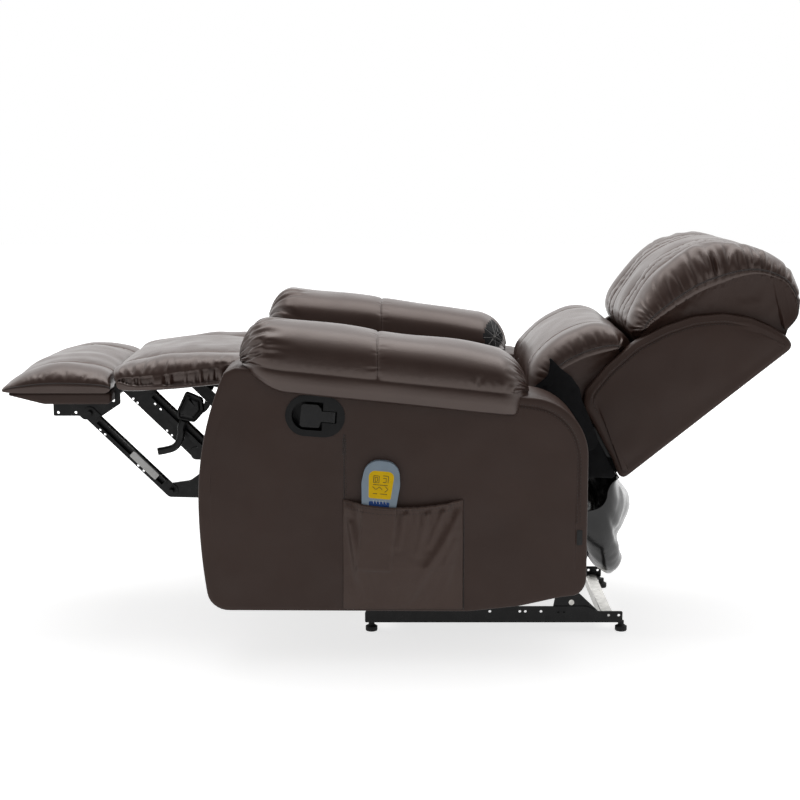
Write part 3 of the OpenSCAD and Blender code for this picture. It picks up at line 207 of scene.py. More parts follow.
HIDE = (0.0425, 0.0225, 0.0172)                   # crowned leather, seen with its gloss
HIDE_FLAT_PAINTED_LIGHT = (0.0490, 0.0270, 0.0205)              # the same leather on flat boards, with a lighter base: painted light that lifts these faces
WARM = (1.0, 0.88, 0.83)                          # tint of its gloss
LEATHER_BUMPS = (("noise", 22.0, 0.10, 0.0030), ("cells", 620.0, 0.30, 0.00035),
                 ("noise", 240.0, 0.22, 0.0006))
leather = material("leather_brown", HIDE, (0.30, 0.38), vary=0.10, vary_scale=7.0, bumps=LEATHER_BUMPS, specular=0.85,
                   tint=WARM)
leather_soft = material("leather_brown_soft", HIDE_FLAT_PAINTED_LIGHT, (0.34, 0.44), vary=0.08, vary_scale=7.0, bumps=LEATHER_BUMPS,
                        specular=0.46, tint=WARM)
leather_flat = material("leather_brown_flat", HIDE_FLAT_PAINTED_LIGHT, (0.44, 0.54), vary=0.08, vary_scale=5.0, specular=0.32,
                        bumps=(("noise", 14.0, 0.10, 0.003), ("cells", 620.0, 0.26, 0.0003),
                               ("noise", 300.0, 0.2, 0.0004)))
PLY = dict(vary=0.2, vary_scale=60.0, sheen=0.2, bumps=(("Z", 900.0, 0.4, 0.0003),))
thread = material("thread_brown", (0.035, 0.024, 0.021), (0.6, 0.8), **PLY)
thread_pale = material("thread_pale", (0.30, 0.29, 0.28), (0.6, 0.8), **PLY)
vinyl = material("vinyl_black", (0.006, 0.006, 0.0065), (0.16, 0.24), vary=0.25, vary_scale=12.0, specular=0.5,
                 bumps=(("noise", 18.0, 0.25, 0.004), ("cells", 700.0, 0.2, 0.0003)))
lining = material("lining_black", (0.006, 0.006, 0.007), (0.75, 0.9), vary=0.3, vary_scale=14.0, specular=0.25,
                  bumps=(("noise", 30.0, 0.3, 0.004), ("X", 420.0, 0.3, 0.0004),
                         ("Z", 420.0, 0.3, 0.0004)))
nonwoven = material("nonwoven_black", (0.010, 0.010, 0.011), (0.7, 0.9), vary=0.4, vary_scale=60.0, specular=0.3,
                    bumps=(("cells", 260.0, 0.6, 0.001), ("noise", 500.0, 0.4, 0.0006)), sheen=0.15)
felt = material("felt_grey", (0.36, 0.35, 0.34), (0.8, 0.95), vary=0.25, vary_scale=40.0, specular=0.2,
                bumps=(("noise", 420.0, 0.6, 0.0012),), sheen=0.3,
                spots=(90.0, 0.6, (0.16, 0.15, 0.17)))
webbing = material("webbing_black", (0.045, 0.045, 0.045), (0.7, 0.85), vary=0.2, vary_scale=30.0, specular=0.25,
                   bumps=(("Y", 260.0, 0.6, 0.0008), ("X", 320.0, 0.4, 0.0006)))
steel_black = material("painted_steel", (0.005, 0.005, 0.0052), (0.24, 0.40), vary=0.35, vary_scale=24.0, specular=0.26,
                       bumps=(("noise", 70.0, 0.12, 0.001), ("noise", 480.0, 0.15, 0.0003)),
                       spots=(55.0, 0.73, (0.05, 0.045, 0.04)))
zinc = material("zinc_steel", (0.58, 0.57, 0.54), (0.26, 0.42), metal=1.0, vary=0.18, vary_scale=60.0,
                bumps=(("noise", 300.0, 0.15, 0.0003, (1.0, 1.0, 6.0)),), spots=(120.0, 0.66, (0.40, 0.38, 0.33)))
timber = material("timber", (0.52, 0.35, 0.19), (0.55, 0.7), vary=0.15, specular=0.3,
                  grain=(9.0, (1.0, 6.0, 6.0), (0.36, 0.22, 0.11)),
                  bumps=(("noise", 90.0, 0.25, 0.0008, (1.0, 8.0, 8.0)),))
plastic = material("black_plastic", (0.005, 0.005, 0.0053), (0.34, 0.44), vary=0.2, vary_scale=20.0, specular=0.22,
                   bumps=(("cells", 900.0, 0.25, 0.0002), ("noise", 160.0, 0.1, 0.0004)))
plastic_paddle = material("paddle_plastic", (0.009, 0.009, 0.0095), (0.34, 0.44), vary=0.2, vary_scale=30.0,
                          specular=0.30, bumps=(("X", 260.0, 0.16, 0.0003), ("cells", 900.0, 0.2, 0.0002)))
remote_shell = material("remote_shell", (0.23, 0.30, 0.37), (0.30, 0.40), vary=0.07, vary_scale=25.0, coat=0.15,
                        coat_rough=0.2, bumps=(("cells", 1100.0, 0.12, 0.00015),))
FINE_BUMP = (("noise", 600.0, 0.08, 0.0001),)
remote_yellow = material("remote_yellow", (0.90, 0.57, 0.004), (0.40, 0.50), vary=0.04, vary_scale=40.0, specular=0.2,
                         bumps=FINE_BUMP)
remote_blue = material("remote_blue", (0.006, 0.05, 0.22), (0.36, 0.44), vary=0.08, vary_scale=40.0, specular=0.3,
                       bumps=FINE_BUMP)
key_rubber = material("key_rubber", (0.50, 0.55, 0.60), (0.5, 0.6), vary=0.06, vary_scale=90.0,
                      bumps=(("cells", 1500.0, 0.2, 0.0001),))
PRINT_BUMP = (("noise", 900.0, 0.1, 0.0001),)
icon_dark = material("icon_dark", (0.02, 0.02, 0.022), vary=0.1, vary_scale=60.0, bumps=PRINT_BUMP)
icon_pale = material("icon_pale", (0.7, 0.72, 0.75), vary=0.06, vary_scale=60.0, bumps=PRINT_BUMP)
rubber = material("rubber_black", (0.018, 0.018, 0.018), (0.6, 0.75), vary=0.25, vary_scale=40.0, specular=0.35,
                  bumps=(("noise", 300.0, 0.2, 0.0006),), spots=(140.0, 0.68, (0.05, 0.048, 0.045)))
sticker_white = material("sticker_white", (0.74, 0.74, 0.72), (0.35, 0.5), vary=0.04, vary_scale=50.0,
                         bumps=(("noise", 120.0, 0.1, 0.0004),))
heat_cloth = material("heating_cloth", (0.05, 0.05, 0.055), (0.7, 0.85), vary=0.2, vary_scale=50.0, specular=0.2,
                      bumps=(("X", 300.0, 0.4, 0.0006), ("Y", 300.0, 0.4, 0.0006)))

# the CAD nodes that stay as they are, by finish
NODE_MATERIAL = (
    (steel_black, "base_rails base_gussets rear_swing_link front_swing_link mechanism_plates carrier_tubes "
                  "back_brackets footrest_arms long_links parallel_links link_stops ottoman_brackets"),
    (zinc, "base_cross_bars base_pivot_pins base_bolts chassis_pins arm_bolts seat_springs latch_hook"),
    (timber, "seat_frame left_arm_frame right_arm_frame back_frame"),
    (plastic, "seat_motors control_box power_inlet release_cable handle_bezel back_motors ottoman_motor"),
    (key_rubber, "power_key mode_key level_key heat_key"),
    (plastic_paddle, "release_handle"), (rubber, "base_feet"), (felt, "seat_deck"), (webbing, "back_webbing"),
    (heat_cloth, "heating_pad"), (remote_shell, "remote_body"), (remote_yellow, "remote_label"),
    (remote_blue, "remote_keypad"),
)
for mat, names in NODE_MATERIAL:
    for node in names.split():
        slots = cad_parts[node].data.materials
        if len(slots) == 0:
            slots.append(mat)
        for i in range(len(slots)):
            slots[i] = mat

# The floor takes the chair's shadow, and is lifted towards white where the camera or a gloss sees it.
FLOOR_HALF = 14.0
floor_mesh = bpy.data.meshes.new("floor")
floor_mesh.from_pydata([(x * FLOOR_HALF, y * FLOOR_HALF, 0) for x, y in ((-1, -1), (1, -1), (1, 1), (-1, 1))], [],
                       [(0, 1, 2, 3)])
floor = bpy.data.objects.new("floor", floor_mesh)
scene.collection.objects.link(floor)
floor_white = bpy.data.materials.new("floor_white")
new, link = node_tools(floor_white)
diffuse = new("BsdfDiffuse", {"Color": (0.62, 0.62, 0.62, 1.0)})
emission, both, path = new("Emission"), new("AddShader"), new("LightPath")
seen = new("Math", operation="MAXIMUM")
lift = new("Math", {1: 0.72}, operation="MULTIPLY")
link(path, "Is Camera Ray", seen, 0)
link(path, "Is Glossy Ray", seen, 1)
link(seen, 0, lift, 0)
link(lift, 0, emission, "Strength")
link(diffuse, 0, both, 0)
link(emission, 0, both, 1)
link(both, 0, new("OutputMaterial"), 0)
floor_mesh.materials.append(floor_white)

# ---------------------------------------------------------------- sizes, mm, as in the CAD source
SEAT_HALF, ARM_W, PAD_HALF = 262.0, 170.0, 250.0
ARM_OUT = SEAT_HALF + ARM_W                          # the arm's outer face
GAP = 0.4                                            # between parts that lie on each other
BACK_FRAME_Y = 222.0
SEAT_AT, SEAT_DEG = (-264.0, 495.0), 10.5
BACK_AT, BACK_DEG = (468.0, 356.0), 38.9
BACK_LEN = 425.0
SIDES = ((-1, "left"), (1, "right"))


def on_seat(p):
    """From the seat's own X and Z, along its rails and up from them, to the chair's."""
    c, s = math.cos(math.radians(SEAT_DEG)), math.sin(math.radians(SEAT_DEG))
    q = np.array(p, float)
    q[..., 0], q[..., 2] = (SEAT_AT[0] + p[..., 0] * c + p[..., 2] * s, SEAT_AT[1] + p[..., 2] * c - p[..., 0] * s)
    return q


def on_back(p):
    """From the back's own X and Z, along its panel and out from it, to the chair's."""
    c, s = math.cos(math.radians(BACK_DEG)), math.sin(math.radians(BACK_DEG))
    q = np.array(p, float)
    q[..., 0], q[..., 2] = (BACK_AT[0] + p[..., 0] * c - p[..., 2] * s, BACK_AT[1] + p[..., 0] * s + p[..., 2] * c)
    return q


def as_is(p):
    return np.array(p, float)


# ---------------------------------------------------------------- mesh tools
def make(name, verts, faces, mat, body, mats=None, face_mat=None):
    """A smooth-shaded piece from points in mm, riding on body. face_mat gives each face's place in mats."""
    me = bpy.data.meshes.new(name)
    me.from_pydata((np.asarray(verts, float) * 0.001).tolist(), [], faces)
    me.update()
    for m in (mats or [mat]):
        me.materials.append(m)
    if face_mat is not None:
        me.polygons.foreach_set("material_index", np.asarray(face_mat, np.int32))
    me.polygons.foreach_set("use_smooth", [True] * len(me.polygons))
    ob = bpy.data.objects.new(name, me)
    scene.collection.objects.link(ob)
    if body:
        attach(ob, body)
    return ob


def tidy_normals(ob):
    bm = bmesh.new()
    bm.from_mesh(ob.data)
    bmesh.ops.recalc_face_normals(bm, faces=bm.faces[:])
    bm.to_mesh(ob.data)
    bm.free()
    return ob


def unit(v):
    return v / np.maximum(np.linalg.norm(v, axis=-1, keepdims=True), 1e-9)


def run_length(p):
    """How far along a line of points each one lies."""
    return np.concatenate([[0], np.cumsum(np.linalg.norm(np.diff(p, axis=0), axis=1))])


def catmull_rom(a, b, d, e, n):
    """n steps of the curve from b towards d, with neighbours a and e."""
    u = (np.arange(n) / n)[:, None]
    return (2 * b + (d - a) * u + (2 * a - 5 * b + 4 * d - e) * u ** 2 + (3 * b - a - 3 * d + e) * u ** 3) / 2


def closed_curve(c, counts, extra=None):
    """Closed Catmull-Rom curve through c, counts[i] steps after each point. extra is carried along, linearly."""
    m = len(c)
    out, ext = [], []
    for i in range(m):
        out.append(catmull_rom(c[i - 1], c[i], c[(i + 1) % m], c[(i + 2) % m], counts[i]))
        if extra is not None:
            u = (np.arange(counts[i]) / counts[i])[:, None]
            ext.append((extra[i] * (1 - u) + extra[(i + 1) % m] * u)[:, 0])
    return (np.concatenate(out), np.concatenate(ext) if extra is not None else None)


def open_curve(c, n):
    """Open Catmull-Rom curve through c, n steps to a span."""
    c = np.asarray(c, float)
    last = len(c) - 1
    out = [catmull_rom(c[max(0, i - 1)], c[i], c[i + 1], c[min(last, i + 2)], n) for i in range(last)]
    return np.concatenate(out + [c[-1:]])


def even(points, step, closed=False):
    """Points spaced evenly along a line of points."""
    p = np.asarray(points, float)
    if closed:
        p = np.concatenate([p, p[:1]])
    d = run_length(p)
    t = np.linspace(0, d[-1], max(2, int(round(d[-1] / step))) + 1)
    q = np.stack([np.interp(t, d, p[:, k]) for k in range(p.shape[1])], 1)
    return q[:-1] if closed else q


def soft_noise(seed, a, b, size, octaves=3):
    """Smooth, repeatable waviness over surface coordinates a, b (mm), about -1 to 1, features of that size."""
    rng = np.random.RandomState(seed)
    total, amp, norm = np.zeros(np.broadcast(a, b).shape), 1.0, 0.0
    for o in range(octaves):
        for _ in range(5):
            ang = rng.uniform(0, 2 * math.pi)
            f = 2 * math.pi / (size * rng.uniform(0.7, 1.4)) * 2 ** o
            total = total + amp * np.sin(f * (a * math.cos(ang) + b * math.sin(ang)) + rng.uniform(0, 2 * math.pi))
        norm += amp * 2.2
        amp *= 0.5
    return total / norm


def creases(a, b, items):
    """Sewn puckers. Each item: a0, b0, heading (deg), length, width, depth, bend. A valley with raised shoulders."""
    out = np.zeros(np.broadcast(a, b).shape)
    for a0, b0, head, length, width, depth, bend in items:
        ca, sa = math.cos(math.radians(head)), math.sin(math.radians(head))
        u = (a - a0) * ca + (b - b0) * sa
        v = -(a - a0) * sa + (b - b0) * ca + bend * u * np.abs(u) / max(1.0, length)
        k = np.clip(u / length, -0.25, 1.0)
        fall = np.where(k < 0, 1 - (k / -0.25) ** 2, (1 - k) ** 1.3 * (1 + 1.0 * k))
        w = width * (0.6 + 1.1 * np.clip(k, 0, 1))
        out += -depth * fall * (np.exp(-(v / w) ** 2) - 0.55 * np.exp(-(v / (2.6 * w)) ** 2))
    return out


def pucker_row(seed, along, across, head, count, length, width, depth, spread=14.0):
    """A row of puckers from along[0] to along[1] at the seam b = across, running off at head degrees."""
    rng = np.random.RandomState(seed)
    items = []
    for i in range(count):
        t = (i + rng.uniform(-0.5, 0.5)) / max(1, count - 1)
        a0 = along[0] + (along[1] - along[0]) * min(1.05, max(-0.05, t))
        items.append((a0, across, head + rng.uniform(-spread, spread), length * rng.uniform(0.45, 1.3),
                      width * rng.uniform(0.6, 1.5), depth * rng.uniform(0.35, 1.25), rng.uniform(-0.25, 0.25)))
    return items


def two_sided(S, Y, rows):
    """Puckers on both sides of Y = 0, each side with its own draws. A row is what pucker_row takes, or one pucker."""
    out = 0.0
    for sign in (-1, 1):
        items = []
        for row in rows:
            items += [row] if len(row) == 7 else pucker_row(row[0] + sign, *row[1:])
        out = out + np.where(Y * sign > 0, creases(S, np.abs(Y), items), 0)
    return out


def grid_normals(p):
    """Outward normals of a grid of closed rings (stations x ring points x 3)."""
    n = unit(np.cross(np.roll(p, -1, 1) - np.roll(p, 1, 1), np.gradient(p, axis=0)))
    away = np.sum((p - p.mean(axis=1, keepdims=True)) * n, axis=2)
    return -n if np.mean(away[len(p) // 2]) < 0 else n


CLOTH = dict(quality=4, mass=0.25, air_damping=6.0, tension_stiffness=18.0, compression_stiffness=18.0,
             shear_stiffness=8.0, bending_stiffness=0.25, tension_damping=12.0, compression_damping=12.0,
             shear_damping=8.0, pin_stiffness=5.0, shrink_min=0.0, use_pressure=True)
CLOTH_FRAMES = 18
WEIGHT_STEPS = 20


def inflate(verts, faces, pin, grow, pressure, amount, cap):
    """Blender's cloth: the cover blown up from inside, held at its pinned points, with more cloth where grow is 1.
    No point moves more than cap mm."""
    me = bpy.data.meshes.new("blow")
    me.from_pydata((verts * 0.001).tolist(), [], faces)
    ob = bpy.data.objects.new("blow", me)
    scene.collection.objects.link(ob)
    tidy_normals(ob)
    for label, weight in (("pin", pin), ("grow", grow)):
        group = ob.vertex_groups.new(name=label)
        levels = np.round(np.clip(weight, 0, 1) * WEIGHT_STEPS).astype(int)
        for level in range(1, WEIGHT_STEPS + 1):
            ids = np.nonzero(levels == level)[0].tolist()
            if ids:
                group.add(ids, level / WEIGHT_STEPS, "REPLACE")
    modifier = ob.modifiers.new("cloth", "CLOTH")
    cloth = modifier.settings
    for key, value in CLOTH.items():
        setattr(cloth, key, value)
    cloth.vertex_group_mass = "pin"
    cloth.vertex_group_shrink = "grow"
    cloth.shrink_max = -amount
    cloth.uniform_pressure_force = pressure
    cloth.effector_weights.gravity = 0.0
    modifier.collision_settings.use_collision = False
    modifier.collision_settings.use_self_collision = False
    modifier.point_cache.frame_start = 1
    modifier.point_cache.frame_end = CLOTH_FRAMES
    for f in range(1, CLOTH_FRAMES + 1):
        scene.frame_set(f)
    blown = ob.evaluated_get(bpy.context.evaluated_depsgraph_get())
    co = np.empty(len(verts) * 3)
    blown.data.vertices.foreach_get("co", co)
    scene.frame_set(1)
    bpy.data.objects.remove(ob, do_unlink=True)
    move = co.reshape(-1, 3) * 1000.0 - verts
    size = np.linalg.norm(move, axis=1, keepdims=True)
    if not np.isfinite(size).all():
        return verts
    print("inflate: mean %.1f max %.1f mm" % (size.mean(), size.max()))
    return verts + move * np.minimum(1.0, cap / np.maximum(size, 1e-9))


def cap_cells(ring, ids, verts, faces, dome, rows=8, field=None):
    """Fills a ring with a ladder of cells between its two long sides, domed along Y by dome mm."""
    n = len(ring)
    half = n // 2
    idx = np.arange(half + 1)
    across = [np.linalg.norm(ring[(k + idx) % n] - ring[(k - idx) % n], axis=1).sum() for k in range(n)]
    k0 = int(np.argmin(np.round(across, 6)))         # an end of the ring's long axis, the same one on every run
    table = []
    for i in range(half + 1):
        a, b = (k0 + i) % n, (k0 - i) % n
        if a == b or i == half and n % 2 == 0:
            table.append([ids[a]])
            continue
        row = [ids[a]]
        wide = np.linalg.norm(ring[a] - ring[b])
        for j in range(1, rows):
            t = j / rows
            q = ring[a] * (1 - t) + ring[b] * t
            lift = dome * min(1.0, wide / 30.0) * 4 * t * (1 - t) * min(1.0, math.sin(math.pi * i / half) * 2)
            if field is not None:
                lift += field(q, t) * min(1.0, wide / 12.0)
            row.append(len(verts))
            verts.append(q + np.array([0.0, lift, 0.0]))
        row.append(ids[b])
        table.append(row)
    for r0, r1 in zip(table[:-1], table[1:]):
        if len(r0) == 1 and len(r1) == 1:
            continue
        if len(r0) == 1:
            faces.extend((r0[0], r1[j], r1[j + 1]) for j in range(len(r1) - 1))
        elif len(r1) == 1:
            faces.extend((r1[0], r0[j + 1], r0[j]) for j in range(len(r0) - 1))
        else:
            faces.extend((r0[j], r1[j], r1[j + 1], r0[j + 1]) for j in range(len(r0) - 1))
    last = (k0 + half + 1) % n
    if n % 2 == 1 and ids[last] not in (table[-1][0], table[-1][-1]):
        row = table[-1]
        faces.extend((ids[last], row[j + 1], row[j]) for j in range(len(row) - 1))


def wall_faces(stations, n, flip=False):
    """The cells between a grid's rings of n points."""
    faces = []
    for j in range(stations - 1):
        for i in range(n):
            a, b, c, d = j * n + i, j * n + (i + 1) % n, (j + 1) * n + (i + 1) % n, (j + 1) * n + i
            faces.append((a, d, c, b) if flip else (a, b, c, d))
    return faces


def y_stations(half, edge, seams, step):
    """Stations across a cushion: finer at its rounded edge and at each seam."""
    vals = [0.0] + list(np.arange(step, half - edge, step))
    vals += [half - edge * (1 - math.sin(math.radians(a))) for a in np.linspace(0, 90, max(6, int(edge / step * 1.35)))]
    keep = [v for v in vals if all(abs(v - s) > 8.5 for s in seams)]
    for s in seams:
        keep += [s + d for d in (-7, -3.6, -1.4, 0, 1.4, 3.6, 7) if 0 <= s + d <= half]
    keep = sorted(set(round(v, 4) for v in keep))
    return np.array([-v for v in keep[::-1] if v > 0] + keep)


def draw(y, start, end):
    """How far a profile is drawn in at y: 0 up to start, then a quarter circle to 1 at end."""
    k = np.clip((abs(y) - start) / (end - start), 0, 1)
    return 1 - np.sqrt(np.maximum(0, 1 - k * k))


def blow_up(g, nrm, ys, S, Y, top, seams, half, cap_dome, pressure, amount):
    """A cushion's grid after its cover was blown up. The cloth runs on a coarse copy of the grid, whose movement is
    smoothed and carried over to the fine one. Seams, underside and ends stay where they are."""
    n = g.shape[1]
    near = np.full(S.shape, 1e3)                     # distance from the nearest seam or end
    for q in list(seams) + [half]:
        near = np.minimum(near, np.abs(np.abs(Y) - q))
    soft = np.clip((half - np.abs(Y)) / 20.0, 0.0, 1.0) * top
    g0 = g - nrm * (soft * np.clip(near / 14.0, 0, 1))[..., None]
    last = len(ys) - 1
    keep = [j for j in range(len(ys)) if j in (0, last) or any(abs(abs(ys[j]) - q) < 0.01 for q in seams)]
    rows_j = sorted(set(keep + [j for j in range(0, len(ys), 2) if all(abs(j - k) > 1 for k in keep)]))
    cols_i = np.arange(0, n, 2)
    if len(cols_i) % 2:
        cols_i = cols_i[:-1]
    pick = np.ix_(rows_j, cols_i)
    coarse, Yc, Sc, nearc, topc = g0[pick], Y[pick], S[pick], near[pick], np.broadcast_to(top, S.shape)[pick]
    nc = len(cols_i)
    verts = [v for ring in coarse for v in ring]
    faces = wall_faces(len(rows_j), nc)
    for j, sign in ((0, -1), (len(rows_j) - 1, 1)):
        cap_cells(coarse[j], list(range(j * nc, (j + 1) * nc)), verts, faces, sign * cap_dome)
    pin = np.where((topc < 0.6) | (np.abs(Yc) >= half - 0.01), 1.0, 0.0)
    for q in seams:
        pin = np.maximum(pin, np.where(np.abs(np.abs(Yc) - q) < 0.01, 1.0, 0.0))
    grow = np.maximum(np.exp(-nearc / 18.0), 0.25) * topc
    grow = np.clip(grow * (0.75 + 0.5 * soft_noise(int(half) + n, Sc, Yc, 60.0, 2)), 0, 1)
    caps = len(verts) - coarse.shape[0] * nc
    blown = inflate(np.array(verts), faces, np.concatenate([pin.ravel(), np.ones(caps)]),
                    np.concatenate([grow.ravel(), np.zeros(caps)]), pressure, amount, 9.0)
    move = blown[:coarse.shape[0] * nc].reshape(coarse.shape) - coarse
    for _ in range(3):
        move = 0.5 * move + 0.25 * (np.roll(move, 1, 1) + np.roll(move, -1, 1))
    at = np.concatenate([cols_i, [cols_i[0] + n]])
    move = np.concatenate([move, move[:, :1]], 1)
    move = np.stack([[np.interp(np.arange(n), at, row[:, k]) for row in move] for k in range(3)], -1)
    fine = np.stack([[np.interp(ys, ys[rows_j], move[:, i, k]) for i in range(n)] for k in range(3)], -1)
    for _ in range(2):
        fine = 0.5 * fine + 0.25 * (np.roll(fine, 1, 0) + np.roll(fine, -1, 0))
    return g0 + np.swapaxes(fine, 0, 1)


def cushion(name, prof, half, edge, under, place, body, seams=(), groove=3.5, groove_w=11.0, step=3.8,
            field=None, cap_dome=0.0, cap_field=None, blow=None, tuck=None):
    """Stuffed cushion from a side profile, as the CAD solid, with sewn seams, crowned panels and sewn puckers.
    prof: x, z, x and z where the end is drawn in, and 1 for points of the underside. blow: pressure and extra cloth.
    tuck: the underside stays inboard of this Y, for side panels that a gusset covers."""
    p = np.array(prof, float)
    ys = y_stations(half, edge, seams, step)
    seg = np.linalg.norm(np.roll(p[:, :2], -1, 0) - p[:, :2], axis=1)
    counts = np.maximum(1, np.round(seg / step).astype(int))
    if counts.sum() % 2:
        counts[int(np.argmax(seg))] += 1
    rings, top = [], None
    for y in ys:
        k = np.where(p[:, 4] == 1, draw(y, under - edge, under), draw(y, half - edge, half))[:, None]
        ring, top = closed_curve(p[:, :2] * (1 - k) + p[:, 2:4] * k, counts, 1 - p[:, 4])
        yy = np.full(len(ring), y)
        if tuck is not None and abs(y) > tuck:
            t = np.clip(top, 0, 1) ** 0.7
            yy = math.copysign(1.0, y) * (abs(y) * t + (tuck + 0.05 * (abs(y) - tuck)) * (1 - t))
        rings.append(np.stack([ring[:, 0], yy, ring[:, 1]], 1))
    g = np.array(rings)
    n = g.shape[1]
    nrm = grid_normals(g)
    mid = g[len(ys) // 2]
    clockwise = np.sum(mid[:, 0] * np.roll(mid[:, 2], -1) - mid[:, 2] * np.roll(mid[:, 0], -1)) <= 0
    S = np.broadcast_to(run_length(mid)[None, :], (len(ys), n))
    Y = np.broadcast_to(ys[:, None], (len(ys), n))
    top = np.clip(top, 0, 1)[None, :]
    if blow:
        g = blow_up(g, nrm, ys, S, Y, top, seams, half, cap_dome, *blow)
        nrm = grid_normals(g)
    disp = np.zeros(S.shape)
    for q in seams:
        dy = np.abs(np.abs(Y) - q)
        deep = groove if q == max(seams) else groove * 0.6
        disp = disp - top * (deep * np.exp(-dy / groove_w) + 1.5 * np.exp(-(dy / 1.6) ** 2))
    if field is not None:
        disp = disp + top * field(S, Y)
    soft_end = np.clip((half - np.abs(Y)) / 4.0, 0.25, 1.0)
    g = g + nrm * (disp * soft_end)[..., None]
    verts = [v for ring in g for v in ring]
    faces = wall_faces(len(ys), n, flip=clockwise)
    for j, sign in ((0, -1), (len(ys) - 1, 1)):
        f = None if cap_field is None else (lambda q, t, sg=sign: sg * cap_field(q, sg))
        cap_cells(g[j], list(range(j * n, (j + 1) * n)), verts, faces, sign * cap_dome, rows=14, field=f)
    side = (np.arange(len(faces)) >= (len(ys) - 1) * n).astype(np.int32) if tuck is not None else None
    ob = make(name, place(np.array(verts)), faces, None, body, mats=[leather, leather_flat], face_mat=side)
    tidy_normals(ob)
    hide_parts(name)
    return ob, g, ys


def tube(name, points, r, mat, body, sides=6):
    """A round cord along points."""
    p = np.asarray(points, float)
    t = unit(np.gradient(p, axis=0))
    ref = np.array([0.0, 1.0, 0.0]) if abs(t[:, 1]).mean() < 0.8 else np.array([0.0, 0.0, 1.0])
    u = unit(np.cross(t, ref))
    v = np.cross(t, u)
    a = np.linspace(0, 2 * math.pi, sides, endpoint=False)[None, :, None]
    verts = p[:, None] + float(r) * (u[:, None] * np.cos(a) + v[:, None] * np.sin(a))
    m = len(p)
    faces = []
    for j in range(m - 1):
        k = j + 1
        for i in range(sides):
            i2 = (i + 1) % sides
            faces.append((j * sides + i, k * sides + i, k * sides + i2, j * sides + i2))
    faces.append(tuple(range(sides)))
    faces.append(tuple((m - 1) * sides + i for i in range(sides - 1, -1, -1)))
    return make(name, verts.reshape(-1, 3), faces, mat, body)


def stitches(name, lines, body, pitch=7.0, length=4.4, r=0.55):
    """Rows of short sewn stitches along lines of points."""
    verts, faces = [], []
    sides = 5
    ends = ((-0.5, 0.25), (-0.3, 1.0), (0.3, 1.0), (0.5, 0.25))      # place along the stitch, share of its radius
    for line in lines:
        q = even(line, pitch)
        for p, d in zip(q, unit(np.gradient(q, axis=0))):
            ref = np.array([0.0, 1.0, 0.0]) if abs(d[1]) < 0.8 else np.array([0.0, 0.0, 1.0])
            u = np.cross(d, ref)
            u /= np.linalg.norm(u)
            v = np.cross(d, u)
            base = len(verts)
            for w, k in ends:
                for a in range(sides):
                    ang = 2 * math.pi * a / sides
                    verts.append(p + d * (w * length) + (u * math.cos(ang) + v * math.sin(ang)) * (r * k))
            for j in range(base, base + 3 * sides, sides):
                for a in range(sides):
                    b = (a + 1) % sides
                    faces.append((j + a, j + sides + a, j + sides + b, j + b))
            faces.append(tuple(base + a for a in range(sides)))
            faces.append(tuple(base + 3 * sides + a for a in range(sides - 1, -1, -1)))
    return make(name, np.array(verts), faces, thread, body)


def line_on(g, ys, y, i0, i1, off=0.4):
    """Points along a cushion's grid at one station y, from ring index i0 to i1, lifted off mm."""
    j = int(np.argmin(np.abs(ys - y)))
    nrm = grid_normals(g)[j]
    if np.mean(np.sum((g[j] - g[j].mean(axis=0)) * nrm, axis=1)) < 0:
        nrm = -nrm
    idx = np.arange(i0, i1) % g.shape[1]
    return g[j][idx] + nrm[idx] * off


def rounded(c, n=6):
    """A closed outline of (x, z, radius) corners, n steps to each round."""
    out = []
    m = len(c)
    for i in range(m):
        b = np.array(c[i][:2], float)
        r = c[i][2] if len(c[i]) > 2 else 0
        if r <= 0:
            out.append(b)
            continue
        a, d = np.array(c[i - 1][:2], float), np.array(c[(i + 1) % m][:2], float)
        ua, ud = (a - b) / np.linalg.norm(a - b), (d - b) / np.linalg.norm(d - b)
        half = math.acos(max(-1, min(1, float(ua @ ud)))) / 2
        t = r / math.tan(half)
        mid = b + (ua + ud) / np.linalg.norm(ua + ud) * (r / math.sin(half))
        p0, p1 = b + ua * t, b + ud * t
        a0, a1 = math.atan2(*(p0 - mid)[::-1]), math.atan2(*(p1 - mid)[::-1])
        da = (a1 - a0 + math.pi) % (2 * math.pi) - math.pi
        out += [mid + r * np.array([math.cos(a0 + da * k / n), math.sin(a0 + da * k / n)]) for k in range(n + 1)]
    return np.array(out)


def inset(ring, d):
    """A closed ring of (x, z) points moved inwards by d, in small relaxed steps."""
    p = np.array(ring, float)
    area2 = np.sum(p[:, 0] * np.roll(p[:, 1], -1) - p[:, 1] * np.roll(p[:, 0], -1))
    sign = 1.0 if area2 > 0 else -1.0
    steps = max(1, int(math.ceil(d / 1.5)))
    for _ in range(steps):
        t = unit(np.roll(p, -1, 0) - np.roll(p, 1, 0))
        p = p + sign * (d / steps) * np.stack([-t[:, 1], t[:, 0]], 1)
        p = p * 0.7 + 0.15 * (np.roll(p, 1, 0) + np.roll(p, -1, 0))
    return p


